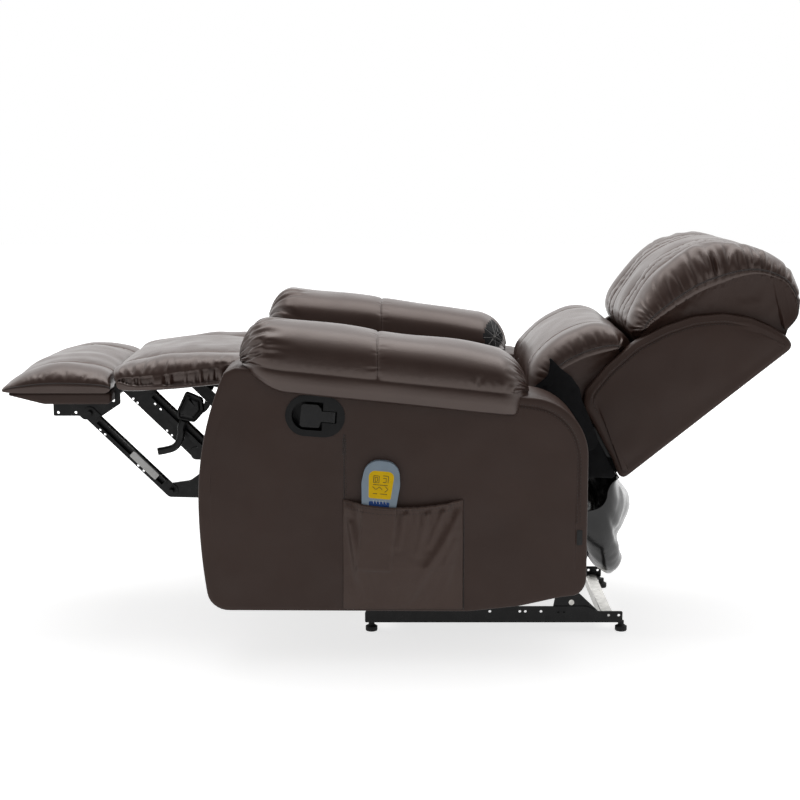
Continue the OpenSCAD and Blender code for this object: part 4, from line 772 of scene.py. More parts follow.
def plate(name, outline, y0, y1, body, mat, nodes=(), step=9.0, edge=(4.0, 5.0), band=None,
          dome=(0.0, 0.0), rows=14, place=as_is, side=1, seed=None, wave=0.0, mask=None):
    """An upholstered board across Y from y0 to y1: rounded edges, a border band with its seam, a slightly full face."""
    ring = even(outline, step, True)
    if len(ring) % 2:
        ring = even(outline, step * len(ring) / (len(ring) + 1.0), True)
    if len(ring) % 2:
        ring = ring[:-1]
    e0, e1 = edge
    rows_y = [(e0 * 1.6, y0), (e0 * 0.45, y0 + e0 * 0.18), (e0 * 0.12, y0 + e0 * 0.5), (0.0, y0 + e0)]
    mid_n = max(1, int((y1 - y0 - e0 - e1) / 40))
    rows_y += [(0.0, y0 + e0 + (y1 - y0 - e0 - e1) * k / mid_n) for k in range(1, mid_n + 1)]
    rows_y += [(e1 * 0.12, y1 - e1 * 0.5), (e1 * 0.45, y1 - e1 * 0.18), (e1 * 1.3, y1)]
    if band:
        rows_y += [(band + d, y1 + lift) for d, lift in (
            (-6, 0.6), (-3, 0.4), (-1.2, -0.6), (0, -2.2), (1.2, -0.6), (3, 0.4), (6, 0.6))]
    g = []
    where = np.ones(len(ring)) if mask is None else np.clip(mask(ring[:, 0], ring[:, 1]), 0, 1)
    for d, y in rows_y:
        q = inset(ring, d) if d > 0.01 else ring
        yy = np.where(y > y1 - 3, y1 + (y - y1) * where, y) if band and d >= band - 6 else np.full(len(q), float(y))
        g.append(np.stack([q[:, 0], yy, q[:, 1]], 1))
    g = np.array(g)
    n = g.shape[1]
    verts = [v for r in g for v in r]
    faces = wall_faces(len(g), n)
    f = None
    if seed is not None:
        f = lambda q, t: wave * float(soft_noise(seed, np.array(q[0]), np.array(q[2]), 170.0, 2))
    cap_cells(g[0], list(range(n)), verts, faces, -dome[0], rows=rows)
    cap_cells(g[-1], list(range((len(g) - 1) * n, len(g) * n)), verts, faces, dome[1], rows=rows, field=f)
    v = np.array(verts)
    v[:, 1] *= side
    ob = tidy_normals(make(name, place(v), faces, mat, body))
    if nodes:
        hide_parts(*nodes)
    return ob, ring


def cut(ob, tools):
    """Takes closed tool solids out of ob, and drops the tools."""
    for t in tools:
        m = ob.modifiers.new("cut", "BOOLEAN")
        m.operation = "DIFFERENCE"
        m.solver = "EXACT"
        m.object = t
    bpy.context.view_layer.update()
    me = bpy.data.meshes.new_from_object(ob.evaluated_get(bpy.context.evaluated_depsgraph_get()))
    ob.modifiers.clear()
    old = ob.data
    ob.data = me
    me.polygons.foreach_set("use_smooth", [True] * len(me.polygons))
    bpy.data.meshes.remove(old)
    for t in tools:
        bpy.data.objects.remove(t, do_unlink=True)
    return ob


def tool_prism(outline, lo, hi, axis="y"):
    """A prism for cut(), from lo to hi along Y or X."""
    p = np.asarray(outline, float)
    n = len(p)
    if axis == "y":
        v = [(a, lo, b) for a, b in p] + [(a, hi, b) for a, b in p]
    else:
        v = [(lo, a, b) for a, b in p] + [(hi, a, b) for a, b in p]
    f = [tuple(range(n)), tuple(range(2 * n - 1, n - 1, -1))]
    f += [(i, (i + 1) % n, n + (i + 1) % n, n + i) for i in range(n)]
    me = bpy.data.meshes.new("tool")
    me.from_pydata((np.array(v) * 0.001).tolist(), [], f)
    ob = bpy.data.objects.new("tool", me)
    scene.collection.objects.link(ob)
    tidy_normals(ob)
    return ob


# ---------------------------------------------------------------- seat, back and footrest cushions
B, F, R = 8.4, 96.0, 44.0                            # underside, front and rear of the crown, over the rails
seat, _, _ = cushion("seat_cushion", [
    [466, B + 1.2, 462, B + 3, 1], [250, B, 250, B + 2, 1], [20, B, 20, B + 2, 1], [-26, B + 2, -20, B + 5, 1],
    [-40, 30, -32, 34, 0], [-45, 66, -36, 60, 0], [-42, F - 8, -30, F - 32, 0], [0, F, 0, F - 26, 0],
    [60, F - 8, 60, F - 32, 0], [150, F - 26, 150, F - 48, 0], [255, R + 18, 255, R, 0], [360, R + 8, 360, R - 8, 0],
    [440, R, 436, R - 14, 0], [472, R - 10, 466, R - 20, 0], [478, B + 8, 470, B + 6, 0]],
    PAD_HALF, 60, PAD_HALF, on_seat, "chassis", seams=(150,), groove=6.0, groove_w=13.0, step=6.0,
    field=lambda S, Y: 1.2 * soft_noise(3, S, Y, 120.0) + creases(S, np.abs(Y), pucker_row(
        5, (330, 620), 153, 90, 20, 22, 3.4, 2.2)))

LB = 126.0                                           # the lumbar pillow's underside, over the back panel


LUMBAR = [[182, LB + 6, 168, 214, 1], [168, LB + 0.3, 150, 211, 1], [60, LB, 60, 202, 1], [8, LB + 8, 22, 200, 1],
          [-26, 176, -4, 210, 1], [-42, 224, -8, 228, 0], [-34, 274, 0, 246, 0], [-6, 303, 20, 256, 0],
          [47, 311, 46, 258, 0], [99, 307, 88, 250, 0], [141, 296, 120, 238, 0], [174, 270, 146, 226, 0],
          [190, 230, 160, 219, 0], [190, 175, 170, 216, 1]]


def s_at(prof, x, z, step=2.0):
    """How far along a profile the point nearest to x, z lies."""
    p = np.array(prof, float)
    seg = np.linalg.norm(np.roll(p[:, :2], -1, 0) - p[:, :2], axis=1)
    ring, _ = closed_curve(p[:, :2], np.maximum(1, np.round(seg / step).astype(int)))
    return float(run_length(ring)[int(np.argmin(np.hypot(ring[:, 0] - x, ring[:, 1] - z)))])


lum_s0, lum_s1 = s_at(LUMBAR, -38, 260), s_at(LUMBAR, 186, 245)
LUMBAR_PUCKERS = (
    (11, (lum_s0 + 40, lum_s1), 244, -90, 17, 17, 3.4, 4.2, 24.0),
    (13, (lum_s1 - 120, lum_s1), 244, -90, 6, 34, 5.0, 5.0, 24.0),
    (15, (lum_s0, lum_s1), 153, 90, 7, 20, 4.0, 1.0),
    (17, (lum_s0, lum_s1), 147, -90, 8, 24, 4.4, 1.2, 25.0))
lumbar, lum_g, lum_y = cushion(
    "lumbar_pillow", LUMBAR, 245, 50, 221, on_back, "back", seams=(150,), groove=3.0, groove_w=10.0,
    field=lambda S, Y: 1.4 * soft_noise(7, S, Y, 150.0, 2) + two_sided(S, Y, LUMBAR_PUCKERS),
    cap_dome=-3.0, blow=(30.0, 0.08), tuck=225.0)

HB, HE = 122.8, 426.4                                # the headrest's underside, and where it turns over the top
HEAD = [[203, HB + 8, 238, 213, 1], [216, HB, 250, 209, 1], [320, HB, 322, 184, 1], [HE - 14, HB + 4, 428, 125, 1],
        [HE + 5, HB - 4, 443, 102, 1], [HE + 2, 44, 455, 44, 1], [456, 28, 456, 34, 0], [494, 36, 490, 42, 0],
        [526, 66, 510, 72, 0], [543, 115, 514, 108, 0], [537, 156, 502, 135, 0], [517, 194, 482, 160, 0],
        [493, 230, 453, 178, 0], [455, 263, 413, 193, 0], [402, 286, 370, 206, 0], [338, 291, 320, 213, 0],
        [276, 276, 270, 217, 0], [226, 258, 244, 218, 0], [202, 230, 236, 216, 0], [199, 180, 234, 214, 1]]
head_s0, head_s1 = s_at(HEAD, 494, 36), s_at(HEAD, 203, 235)
span = head_s1 - head_s0
HEAD_PUCKERS = (
    (23, (head_s0 + 0.10 * span, head_s0 + 0.98 * span), 245, -90, 15, 48, 5.5, 7.0, 22.0),
    (24, (head_s0, head_s1), 245, -90, 30, 17, 3.2, 3.6, 24.0),
    (25, (head_s0 + 0.16 * span, head_s0 + 0.60 * span), 245, -90, 7, 60, 7.5, 11.0, 24.0),
    (head_s0 + span * 0.36, 236.0, -76, 30.0, 8.0, 13.0, 0.2),
    (head_s0 + span * 0.47, 236.0, -100, 30.0, 8.0, 13.0, 0.2),
    (head_s0 + span * 0.56, 236.0, -68, 30.0, 8.0, 13.0, 0.2),
    (26, (head_s0 + 0.86 * span, head_s1), 245, -90, 6, 40, 4.6, 6.0, 26.0),
    (27, (head_s0, head_s1), 153, 90, 12, 22, 4.5, 1.6, 25.0),
    (31, (head_s0, head_s1), 147, -90, 24, 30, 4.5, 3.6, 30.0),
    (35, (head_s0, head_s1), 104, 90, 24, 26, 4.5, 3.4, 30.0),
    (39, (head_s0, head_s1), 60, 90, 20, 26, 4.5, 3.0, 30.0))
head, head_g, head_y = cushion(
    "headrest_pillow", HEAD, 246, 56, 221, on_back, "back", seams=(58, 102, 150), groove=7.0, groove_w=12.0,
    field=lambda S, Y: 1.6 * soft_noise(21, S, Y, 150.0, 2) + two_sided(S, Y, HEAD_PUCKERS),
    cap_dome=-7.0, blow=(30.0, 0.10), tuck=225.0)

OB, OH, OF_, OR_ = 534.0, 55.0, -836.0, -606.0       # the ottoman's underside, thickness, front and rear
OMID = (OF_ + OR_) / 2
OTTO = [[OR_ - 2, OB + 6, OR_ - 2, OB + 4, 1], [OR_ - 8, OB + 0.6, OR_ - 8, OB + 0.6, 1],
        [OR_ - 18, OB, OR_ - 18, OB, 1], [OMID, OB, OMID, OB, 1], [OF_ + 40, OB, OF_ + 40, OB, 1],
        [OF_ + 8, OB + 2, OF_ + 11, OB + 2, 0], [OF_, OB + 10, OF_ + 7, OB + 5, 0],
        [OF_ + 17, OB + 0.42 * OH, OF_ + 25, OB + 9, 0],
        [OF_ + 50, OB + 0.76 * OH, OF_ + 60, OB + 12, 0], [OF_ + 100, OB + 0.99 * OH, OF_ + 100, OB + 14, 0],
        [OF_ + 146, OB + 1.02 * OH, OF_ + 146, OB + 14, 0], [OR_ - 40, OB + 0.9 * OH, OR_ - 40, OB + 13, 0],
        [OR_ - 10, OB + 0.7 * OH, OR_ - 10, OB + 11, 0], [OR_, OB + 0.4 * OH, OR_, OB + 8, 0]]
ot_s0, ot_s1 = s_at(OTTO, OF_, OB + 10), s_at(OTTO, OR_, OB + 22)
OTTO_PUCKERS = (
    (43, (ot_s0 + 20, ot_s1 - 30), 244, -90, 14, 20, 4.4, 3.4),
    (49, (ot_s0 + 30, ot_s1), 147, -90, 8, 22, 4.6, 1.8, 20.0))
otto, otto_g, otto_y = cushion(
    "ottoman_cushion", OTTO, PAD_HALF, 60, PAD_HALF, as_is, "ottoman", seams=(150,), groove=4.0,
    field=lambda S, Y: 1.2 * soft_noise(41, S, Y, 140.0, 2) + two_sided(S, Y, OTTO_PUCKERS), blow=(24.0, 0.06))
board_top = 533.6
plate("ottoman_board", rounded([[OF_ + 17, board_top - 5], [OF_ + 17, board_top], [-606, board_top, 4], [-606, 510, 6],
                                [OF_ + 90, 510, 40]], 8), -246, 246, "ottoman", leather_flat, ["ottoman_board"],
      step=6.0, edge=(3.0, 3.0), rows=6)

CB, CT, CF, CR = 557.0, 50.0, -603.0, -302.0         # the calf pad's underside, thickness, front and rear
CALF = [[CR, CB + 13, CR, CB + 3, 1], [CR - 80, CB + 6, CR - 80, CB - 5, 1], [CF + 130, CB, CF + 130, CB - 14, 1],
        [CF + 52, CB, CF + 52, CB - 18, 1], [CF + 13, CB + 4, CF + 18, CB - 15, 0], [CF, CB + 17, CF + 12, CB - 2, 0],
        [CF + 9, CB + 0.58 * CT, CF + 20, CB + 8, 0], [CF + 52, CB + 0.8 * CT, CF + 52, CB + 10, 0],
        [CF + 112, CB + 0.94 * CT, CF + 112, CB + 16, 0], [CF + 182, CB + 1.04 * CT, CF + 182, CB + 26, 0],
        [CR - 54, CB + 1.04 * CT, CR - 54, CB + 35, 0], [CR - 8, CB + 0.96 * CT, CR - 4, CB + 38, 0],
        [CR, CB + 0.6 * CT, CR, CB + 22, 0]]
cf_s0, cf_s1 = s_at(CALF, CF, CB + 17), s_at(CALF, CR - 4, CB + 48)


def calf_pleats(q, sign):
    """Gathers down the pad's side, deep near its lower band."""
    x, z = q[0], q[2]
    low = 557 - 13 * max(0.0, min(1.0, (x + 602) / 40.0)) + 14 * max(0.0, min(1.0, (x + 470) / 170.0))
    v = max(0.0, min(1.0, (z - low - 9) / 34.0))
    if z < low + 7:
        return 5.0
    phase = x / 15.0 + 0.9 * math.sin(x / 23.0 + sign) + 0.35 * math.sin(x / 7.0)
    return 1.0 + 1.5 * v - (6.5 * (1 - v) ** 1.1 + 4.0) * (0.5 - 0.5 * math.cos(2 * math.pi * phase)) ** 0.7
CALF_PUCKERS = (
    (59, (cf_s0 + 40, cf_s1 - 10), 147, -90, 9, 26, 5.0, 2.4, 25.0),
    (63, (cf_s0 + 20, cf_s1 - 4), 249, -90, 24, 34, 4.6, 5.5, 20.0))
calf, calf_g, calf_y = cushion(
    "calf_pad", CALF, PAD_HALF, 44, PAD_HALF, as_is, "calf_rest", seams=(150,), groove=4.0,
    field=lambda S, Y: 2.2 * soft_noise(51, S, Y, 190.0, 2) + two_sided(S, Y, CALF_PUCKERS),
    cap_dome=3.0, cap_field=calf_pleats, blow=(24.0, 0.06))

# ---------------------------------------------------------------- arms
ARM_R, ARM_LOW_R = 655.0, 1200.0                     # radii of the front edge, above and below z = 340


def arm_front(z, i):
    """X of the arm's bowed front edge at z, drawn in by i mm."""
    r = ARM_R if z > 340 else ARM_LOW_R
    return -403 + r - math.sqrt((r - i) ** 2 - (z - 340) ** 2)


def arm_top(x):
    """Z of the arm's sloping top at x."""
    return 613 + (553 - 613) * (x + 318) / (255 + 318.0)


def arc(cx, cz, r, degrees):
    return [(cx + r * math.cos(math.radians(a)), cz + r * math.sin(math.radians(a))) for a in degrees]


def arm_outline(i):
    """The arm's outline, drawn in by i mm."""
    p = []
    for k in range(25):
        z = 162 + (601 - i - 162) * k / 24
        p.append((arm_front(z, i), z))
    p += [(-326 + i, 613 - i), (255.0, 553 - i)] + arc(255, 433, 120 - i, range(85, -1, -5))
    p += [(375.0 - i, 186.0)] + arc(335, 184, 40 - i, range(0, -61, -10))
    p += [(321.0, 145.0 + i), (241.0, 127.0 + i), (139.0, 116.0 + i), (-323.0, 118.0 + i)]
    return np.array(p + arc(arm_front(162, 0) + 44, 162, 44 - i, range(270, 197, -9)))


HANDLE_C = np.array([-168.0, 516.0])
HANDLE_T = math.radians(4)


def at_handle(p):
    """From the handle cup's own axes to the chair's."""
    p = np.asarray(p, float)
    c, s = math.cos(HANDLE_T), math.sin(HANDLE_T)
    return np.stack([HANDLE_C[0] + p[..., 0] * c + p[..., 1] * s, HANDLE_C[1] + p[..., 1] * c - p[..., 0] * s], -1)


def stadium(l, h, n=16):
    """An oval with straight sides, l long and h high."""
    r = h / 2
    a = [(l / 2 - r + r * math.cos(t), r * math.sin(t)) for t in np.linspace(-math.pi / 2, math.pi / 2, n)]
    b = [(-l / 2 + r + r * math.cos(t), r * math.sin(t)) for t in np.linspace(math.pi / 2, 3 * math.pi / 2, n)]
    return np.array(a + b)


def arm_mask(x, z):
    """1 at the arm's rear top corner, where the panel's border seam shows."""
    return np.clip((x - 170) / 40.0, 0, 1) * np.clip((z - 300) / 60.0, 0, 1)


for s, side_name in SIDES:
    cover, _ = plate("arm_cover_" + side_name, arm_outline(0), SEAT_HALF, ARM_OUT - 10.4, "chassis", leather_flat,
                     [side_name + "_arm_cover"], edge=(6.0, 0.8), rows=4, side=s)
    panel, _ = plate("side_panel_" + side_name, arm_outline(0), ARM_OUT - 10, ARM_OUT, "chassis", leather_flat,
                     [side_name + "_side_panel"], edge=(0.8, 5.0), band=18.0, dome=(0.0, 1.2), rows=18, side=s,
                     seed=61 + s, wave=0.8, mask=arm_mask)
    if s < 0:
        hole = at_handle(stadium(99, 63))
        cut(panel, [tool_prism(hole, -450, -415)])
        turn = np.linspace(0, 2 * math.pi, 32, endpoint=False)
        inlet = [(-398 + 9.3 * math.cos(a), 232 + 9.3 * math.sin(a)) for a in turn]
        cut(cover, [tool_prism(hole, -425, -394), tool_prism(inlet, 360, 390, "x")])


PAD_X0, PAD_X1, PAD_END = -318, 258, 66.0            # the arm pad's ends, and how far they are rounded
PAD_Y, PAD_SEAM_X = 356, -44                         # its middle line, and its cross seam


def pad_outline(x):
    """The arm pad's section at x, about its middle line, with the lip that hangs over the side panel."""
    inn = min(x - PAD_X0, PAD_X1 - x)
    k = math.sqrt(max(0.02, 1 - max(0, 1 - inn / PAD_END) ** 2))
    u = (x - PAD_X0) / (PAD_X1 - PAD_X0)
    w = 100.0
    h = 95 + (79 - 95) * u + 6 * math.sin(math.pi * u)
    e = max(0.0, min(1.0, (inn - 16) / (80.0 if x < 0 else 16.0)))
    lip = 36 * math.sin(math.pi / 2 * e)
    face = min(ARM_OUT - PAD_Y + GAP, k * w - 4)
    low = [(1 - w * k, 9 * k), (8 - w * k, 1), (0, 0), (face, 0), (face, -lip),
           (face + (w * k - face) * 0.6, -lip - min(3, lip)), (w * k, -lip * 0.5)]
    up = [(w, 26), (w * 0.9, h * 0.64), (w * 0.62, h * 0.89), (w * 0.22, h), (-w * 0.22, h), (-w * 0.62, h * 0.89),
          (-w * 0.9, h * 0.64), (-w, 28)]
    return np.array(low + [(a * k, b * k) for a, b in up], float)


PAD_COUNTS = np.array([2, 8, 8, 6, 3, 4, 16, 15, 12, 14, 15, 14, 12, 14, 8])
PAD_FLAT = 6                                         # the first spans of the section are straight
# places (x, share of the way from the lip's seam over the pad), heading, and limits of turn, length, width, depth, bend
PAD_PLEATS = (
    ([(-317.0, t, 0) for t in np.linspace(0.02, 0.96, 13)],
     (-16, 16), (48, 124), (4.2, 7.4), (6.0, 11.0), (-0.12, 0.12)),
    ([(-312.0, t, 24) for t in np.linspace(0.02, 0.34, 5)], (-10, 16), (60, 96), (4.0, 6.0), (6.0, 10.0), (-0.1, 0.1)),
    ([(257.0, t, 180) for t in np.linspace(0.03, 0.97, 15)], (-12, 12), (26, 60), (3.5, 6.0), (4.0, 7.0), (-0.2, 0.2)),
    ([(x, 0, 90) for x in np.linspace(150, 236, 10)], (-16, 16), (20, 42), (3.0, 4.6), (3.0, 5.0), None),
    ([(x, 0, 90) for x in np.linspace(-240, 140, 22)], (-16, 16), (12, 24), (2.6, 4.2), (0.6, 1.4), None),
    ([(-43.0, t, 0 if i % 2 else 180) for i, t in enumerate(np.linspace(0.08, 0.92, 16))],
     (-20, 20), (14, 30), (2.6, 4.0), (0.8, 1.8), None))
PAD_THREADS = ((-22, 18, 20, -14), (-16, -24, 18, 20), (-4, 32, 6, -30), (-24, -4, 23, 2), (10, 26, -14, -26))


def arm_pad(side_name, s):
    """A stuffed pad over the arm, lofted along X, with a cross seam, a seam above its lip and gathered ends."""
    bends = [(a, math.cos(math.radians(a))) for a in np.linspace(4, 88, 22)]
    xs = [-(318 - PAD_END * c) for _, c in bends]
    xs += [x for x in np.arange(-250, 192, 3.6) if abs(x - PAD_SEAM_X) > 9]
    xs += [PAD_SEAM_X + d for d in (-7, -4, -1.8, -0.7, 0, 0.7, 1.8, 4, 7)]
    xs += [PAD_X1 - PAD_END * (1 - c) for _, c in bends]
    xs = np.array(sorted(xs))
    flat_n = int(PAD_COUNTS[:PAD_FLAT].sum())
    rings = []
    for x in xs:
        c = pad_outline(x)
        lin = []
        for i in range(PAD_FLAT):
            u = (np.arange(PAD_COUNTS[i]) / PAD_COUNTS[i])[:, None]
            lin.append(c[i] * (1 - u) + c[i + 1] * u)
        ring = np.concatenate(lin + [closed_curve(c, PAD_COUNTS)[0][flat_n:]])
        rings.append(np.stack([np.full(len(ring), x), PAD_Y + ring[:, 0], arm_top(x) + GAP + ring[:, 1]], 1))
    g = np.array(rings)
    n = g.shape[1]
    nrm = grid_normals(g)
    along = run_length(g[len(xs) // 2])
    seam_s = along[int(flat_n + PAD_COUNTS[6] * 0.6)]
    end_s = along[int(PAD_COUNTS[:14].sum())]
    S = np.broadcast_to(along[None, :], (len(xs), n))
    X = np.broadcast_to(xs[:, None], (len(xs), n))
    soft = np.clip((S - along[int(PAD_COUNTS[:5].sum())]) / 8.0, 0, 1)
    disp = 1.6 * soft_noise(71 + s, X, S, 210.0, 1)
    d = np.abs(X - PAD_SEAM_X)
    above = np.clip((S - seam_s) / 6.0, 0, 1)
    disp = disp - above * (3.2 * np.exp(-d / 9.0) + 1.4 * np.exp(-(d / 1.5) ** 2))
    d = np.abs(S - seam_s)
    disp = disp - (3.2 * np.exp(-d / 9.0) + 0.9 * np.exp(-(d / 1.8) ** 2))
    rng = np.random.RandomState(73 + s)
    items = [(x, seam_s + (end_s - seam_s) * t, head + rng.uniform(*turn), rng.uniform(*length), rng.uniform(*width),
              rng.uniform(*depth), rng.uniform(*bend) if bend else 0.0)
             for places, turn, length, width, depth, bend in PAD_PLEATS for x, t, head in places]
    disp = disp + creases(X, S, items) * above
    g = g + nrm * (disp * soft)[..., None]
    verts = [v for ring in g for v in ring]
    faces = wall_faces(len(xs), n)
    for j in (0, len(xs) - 1):
        base = len(verts)
        grown = [None] * base
        cap_cells(g[j][:, [1, 0, 2]], list(range(j * n, (j + 1) * n)), grown, faces, 0.0)
        verts += [q[[1, 0, 2]] for q in grown[base:]]
    v = np.array(verts)
    v[:, 1] *= s
    # the open inner rear corner, closed with black non-woven cloth under loose threads
    cx, cz = 224.0, arm_top(224) + 40
    q = g[:-1]
    patch = (q[..., 1] < 330) & (((q[..., 0] - cx) / 26.0) ** 2 + ((q[..., 2] - cz) / 34.0) ** 2 < 1.0)
    mats = np.zeros(len(faces), np.int32)
    mats[:patch.size] = patch.ravel()
    ob = tidy_normals(make("arm_pad_" + side_name, v, faces, None, "chassis", mats=[leather, nonwoven], face_mat=mats))
    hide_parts(side_name + "_arm_pad")
    inner = g[(g[:, :, 1] < 330) & (g[:, :, 0] > 180)]
    for k, (a, b, c, d) in enumerate(PAD_THREADS):
        bow = [(cx + a, cz + b), (cx + (a + c) / 2 + 3, cz + (b + d) / 2 - 4), (cx + c, cz + d)]
        pts = []
        for x, z in even(bow, 2.5):
            near = inner[np.argsort((inner[:, 0] - x) ** 2 + (inner[:, 2] - z) ** 2)[:4]]
            pts.append((x, s * (near[:, 1].min() - 0.8), z))
        tube("arm_pad_thread_%s_%d" % (side_name, k), pts, 0.4, thread_pale, "chassis", sides=5)
    return ob


pads = [arm_pad("left", -1), arm_pad("right", 1)]

# ---------------------------------------------------------------- pocket and rear flap
POCKET_TOP = 349.0


# the pull lines of the pocket's cloth: from u, v to u, v, width and height
POCKET_DRAGS = ((0.04, 0.93, 0.20, 0.12, 0.045, 6.0), (0.98, 0.86, 0.52, 0.06, 0.055, 7.0),
                (0.97, 0.72, 0.66, 0.05, 0.04, 5.0), (0.30, 0.92, 0.26, 0.45, 0.028, 3.6),
                (0.52, 0.93, 0.46, 0.62, 0.026, 3.2), (0.70, 0.92, 0.62, 0.55, 0.028, 3.6),
                (0.40, 0.93, 0.38, 0.70, 0.02, 2.6), (0.83, 0.92, 0.72, 0.62, 0.026, 3.4),
                (0.05, 0.80, 0.12, 0.30, 0.03, 4.0), (0.96, 0.62, 0.80, 0.10, 0.04, 3.6))


def pocket_surface(u, v, out):
    """The pocket's outer or inner face, over u along it and v up it: filled, gathered at the hem, over the remote."""
    u, v = np.asarray(u, float), np.asarray(v, float)
    edge = np.sin(np.pi * u)
    top = POCKET_TOP - 14 * edge
    x = -114 + 240 * u
    z = 122 + (top - 122) * v
    fill = np.minimum(1, 2.4 * edge) * np.minimum(1, 2.4 * v) * 20.7
    fold = 1.6 * np.sin(2 * np.pi * (3.2 * u + 1.1 * v)) * edge * (1 - v) * np.minimum(1, 4 * v)
    gather = 2.3 * np.sin(2 * np.pi * (13 * u + 0.35 * np.sin(11 * u)))
    gather = gather * np.clip((v - 0.82) / 0.16, 0, 1) ** 0.8 * np.minimum(1, 3 * edge)
    drag = 0.0
    for u0, v0, u1, v1, w, a in POCKET_DRAGS:
        du, dv = u1 - u0, v1 - v0
        k = np.clip(((u - u0) * du + (v - v0) * dv) / (du * du + dv * dv), 0, 1)
        dist = np.hypot(u - u0 - du * k, v - v0 - dv * k)
        ridge = np.exp(-(dist / w) ** 2) - 0.6 * np.exp(-(dist / (2.4 * w)) ** 2)
        drag = drag + 1.45 * a * ridge * (1 - 0.5 * k) * np.minimum(1, 4 * edge)
    over = 19.6 * np.clip((0.175 - np.abs(u - 0.305 + 0.075 * (1 - v))) / 0.04, 0, 1) * np.clip((v - 0.30) / 0.10, 0, 1)
    y = -432.4 - np.maximum(over, np.maximum(0, fill * 0.78 + fold + gather + drag)) - (2.4 if out else 0)
    return np.stack([x, y, z], -1)


def sheet_shell(name, outer, inner, mat, body):
    """A closed sheet between two grids of points."""
    r, c = outer.shape[:2]
    verts = np.concatenate([outer.reshape(-1, 3), inner.reshape(-1, 3)])
    m = r * c
    faces = []
    for j in range(r - 1):
        for i in range(c - 1):
            a = j * c + i
            faces.append((a, a + 1, a + c + 1, a + c))
            faces.append((m + a, m + a + c, m + a + c + 1, m + a + 1))
    rim = [(0, i) for i in range(c - 1)] + [(j, c - 1) for j in range(r - 1)] + \
          [(r - 1, i) for i in range(c - 1, 0, -1)] + [(j, 0) for j in range(r - 1, 0, -1)]
    ids = [j * c + i for j, i in rim]
    for a, b in zip(ids, ids[1:] + ids[:1]):
        faces.append((a, m + a, m + b, b))
    return tidy_normals(make(name, verts, faces, mat, body))


uu, vv = np.meshgrid(np.linspace(0, 1, 81), np.linspace(0, 1, 61))
pocket_outer = pocket_surface(uu, vv, True)
pocket = sheet_shell("side_pocket", pocket_outer, pocket_surface(uu, vv, False), leather_soft, "chassis")
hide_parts("side_pocket")

FLAP_TOP = (464.0, 351.0)
FLAP_FOOT = (352.0, 264.0)
FLAP_EDGE = [FLAP_TOP, (448, 338), (440, 322), (438, 308), (433, 297), (425, 289), (414, 284), (402, 281), (388, 278),
             (370, 273), FLAP_FOOT]
FLAP_MID = [FLAP_TOP, (487, 310), (508, 248), (501, 200), (489, 164), (496, 122), (476, 92), (452, 98), (420, 128),
            (388, 182), FLAP_FOOT]


def flap_path(y, n=7):
    """The sling's side view at y: its middle sags, its edges follow the outline at the side plates."""
    k = max(0.0, math.cos(math.radians(90 * y / 230.0))) ** 0.6
    return open_curve(np.array(FLAP_EDGE, float) * (1 - k) + np.array(FLAP_MID, float) * k, n)


flap_rows = []
for y in np.concatenate([[-229.9, -229, -227, -223], np.linspace(-218, 218, 74), [223, 227, 229, 229.9]]):
    w = flap_path(y)
    t = unit(np.gradient(w, axis=0))
    m = np.stack([t[:, 1], -t[:, 0]], 1)             # out of the sling
    s_along = run_length(w)
    free = np.clip(s_along / 40, 0, 1) * np.clip((s_along[-1] - s_along) / 40, 0, 1)
    free = free * np.clip((230 - abs(y)) / 50, 0, 1)
    here = np.full(len(w), y)
    wob = free * (5.0 * soft_noise(81, here, s_along, 150.0, 2) + 1.3 * soft_noise(83, here, s_along, 50.0, 2))
    flap_rows.append((y, w + m * wob[:, None], m))
outer, inner = (np.array([np.stack([w[:, 0] + k * m[:, 0], np.full(len(w), y), w[:, 1] + k * m[:, 1]], 1)
                          for y, w, m in flap_rows]) for k in (1, -1))      # 2 mm thick
flap = sheet_shell("rear_flap", outer, inner, vinyl, None)
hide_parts("rear_flap")


# ---------------------------------------------------------------- back: wings, panel, lining
WING = rounded([[448, -7, 14], [-7, -6, 12], [6, 40, 60], [22, 128, 60], [27, 168, 30], [52, 192, 24], [117, 206, 60],
                [195, 210, 90], [261, 197, 90], [322, 175, 90], [376, 139, 60], [413, 98, 40], [436, 56, 30],
                [448, 22, 20]], 5)
GUSSET = [[100, 9, 2], [443, 9, 4], [447, 60, 20], [452, 104, 14], [424, 140, 20], [300, 190, 40], [230, 215, 20],
          [150, 160, 20], [100, 124, 4]]
# black cloth at each pillow's lower end: partly a fin of lining, partly painted shade laid over the hollow there
FIN = [[38, 299, 2], [41, 262, 8], [48, 235, 14], [46, 205, 14], [34, 181, 10], [26, 150, 10], [12, 100, 20],
       [-20, 60, 20], [-34, 120, 14], [-26, 165, 14], [-32, 205, 14], [-40, 262, 8], [-26, 272, 8], [2, 236, 14],
       [18, 262, 8]]
SIDE_LINING = [[-60, 44, 8], [-18, 6, 6], [-8, 8, 4], [-1, 40, 20], [17, 140, 20], [21, 190, 6], [-12, 192, 8],
               [-24, 165, 20], [-22, 138, 20], [-28, 90, 20]]


def wing_mask(x, z):
    """1 where the wing has its border seam, 0 near the hip."""
    return np.clip((z - 96) / 30.0, 0, 1) * np.clip((x - 34) / 20.0, 0, 1)


def rectangle(x0, x1, z0, z1, r):
    return rounded([[x0, z0, r], [x1, z0, r], [x1, z1, r], [x0, z1, r]], 3)


